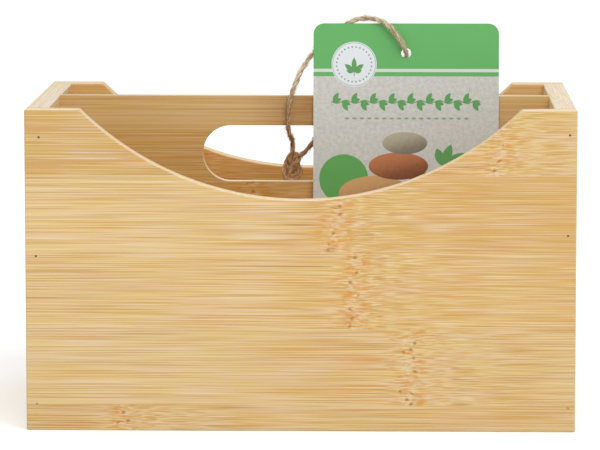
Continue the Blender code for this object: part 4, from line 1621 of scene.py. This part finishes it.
class ORGANIZER_OT_studio(bpy.types.Operator):
    """Set up the camera, the soft lamps and the white floor"""

    bl_idname = "organizer.studio"
    bl_label = "Studio"

    def execute(self, context):
        scene = context.scene
        studio = scene.organizer_studio
        camera = bpy.data.objects.new("camera", bpy.data.cameras.new("camera"))
        scene.collection.objects.link(camera)
        camera.data.lens = studio.lens
        camera.data.sensor_width = SENSOR_WIDTH
        camera.data.clip_end = VIEW_END
        camera.location = CAMERA_PLACE
        camera.rotation_euler = (CAMERA_TILT, 0.0, CAMERA_TURN)
        scene.camera = camera

        scene.view_settings.view_transform = "Standard"
        world = bpy.data.worlds.new("studio")
        scene.world = world
        world.use_nodes = True
        wiring = Wiring(world.node_tree)
        shader = world.node_tree.nodes["Background"]
        shader.inputs["Color"].default_value = (*WHITE, 1.0)
        strength = wiring.between(seen_rays(wiring), studio.ambient, 1.0)
        wiring.feed(shader.inputs["Strength"], strength)

        floor = new_piece("studio_floor", box_shape("studio_floor", FLOOR_LOW, FLOOR_HIGH))
        material, wiring, shader = new_finish("white_floor")
        shader.inputs["Base Color"].default_value = FLOOR_GREY
        shader.inputs["Roughness"].default_value = 0.9
        shader.inputs["Specular IOR Level"].default_value = 0.0
        shader.inputs["Emission Color"].default_value = (*WHITE, 1.0)
        far = wiring.ease(wiring.length(wiring.place()), *FLOOR_GLOW_REACH)
        glow = seen_rays(wiring) * (far * FLOOR_GLOW_RISE + FLOOR_GLOW_NEAR)
        wiring.feed(shader.inputs["Emission Strength"], glow)
        floor.data.materials.append(material)
        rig.stage(floor)

        add_lamp("key_lamp", (0.5, -1.15, 1.55), (1.4, 1.0), studio.key)
        add_lamp("top_lamp", (0.1, 0.1, 1.7), (1.6, 1.6), studio.top)
        return {"FINISHED"}


class ORGANIZER_PT_sidebar(bpy.types.Panel):
    bl_label = "Bamboo Organizer Box"
    bl_space_type = "VIEW_3D"
    bl_region_type = "UI"
    bl_category = "Organizer"

    def draw(self, context):
        layout = self.layout
        for step in STEPS:
            layout.operator(step.bl_idname)
        for name in SETTINGS:
            column = layout.column(heading=name)
            settings = getattr(context.scene, name)
            for field_name in settings.bl_rna.properties.keys():
                if field_name not in {"rna_type", "name"}:
                    column.prop(settings, field_name)


SETTINGS = {
    "organizer_bamboo": BambooSettings,
    "organizer_twine": TwineSettings,
    "organizer_tag": TagSettings,
    "organizer_studio": StudioSettings,
}
STEPS = (
    ORGANIZER_OT_studio,
    ORGANIZER_OT_knot,
    ORGANIZER_OT_twine,
    ORGANIZER_OT_panels,
    ORGANIZER_OT_ends,
    ORGANIZER_OT_dividers,
    ORGANIZER_OT_floor,
    ORGANIZER_OT_brads,
    ORGANIZER_OT_tag,
)


def register():
    for cls in (*SETTINGS.values(), *STEPS, ORGANIZER_PT_sidebar):
        bpy.utils.register_class(cls)
    for name, cls in SETTINGS.items():
        setattr(bpy.types.Scene, name, PointerProperty(type=cls))


def unregister():
    for name in SETTINGS:
        delattr(bpy.types.Scene, name)
    for cls in (ORGANIZER_PT_sidebar, *reversed(STEPS), *SETTINGS.values()):
        bpy.utils.unregister_class(cls)


def main():
    register()
    bpy.ops.organizer.studio()
    bpy.ops.organizer.knot()
    bpy.ops.organizer.twine()
    bpy.ops.organizer.panels()
    bpy.ops.organizer.ends()
    bpy.ops.organizer.dividers()
    bpy.ops.organizer.floor()
    bpy.ops.organizer.brads()
    bpy.ops.organizer.tag()
    low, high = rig.bounds()
    sizes = {"cad": [list(CAD_LOW), list(CAD_HIGH)], "visual": [list(low), list(high)]}
    with open("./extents.json", "w") as file:
        json.dump(sizes, file)


if __name__ == "__main__":
    main()
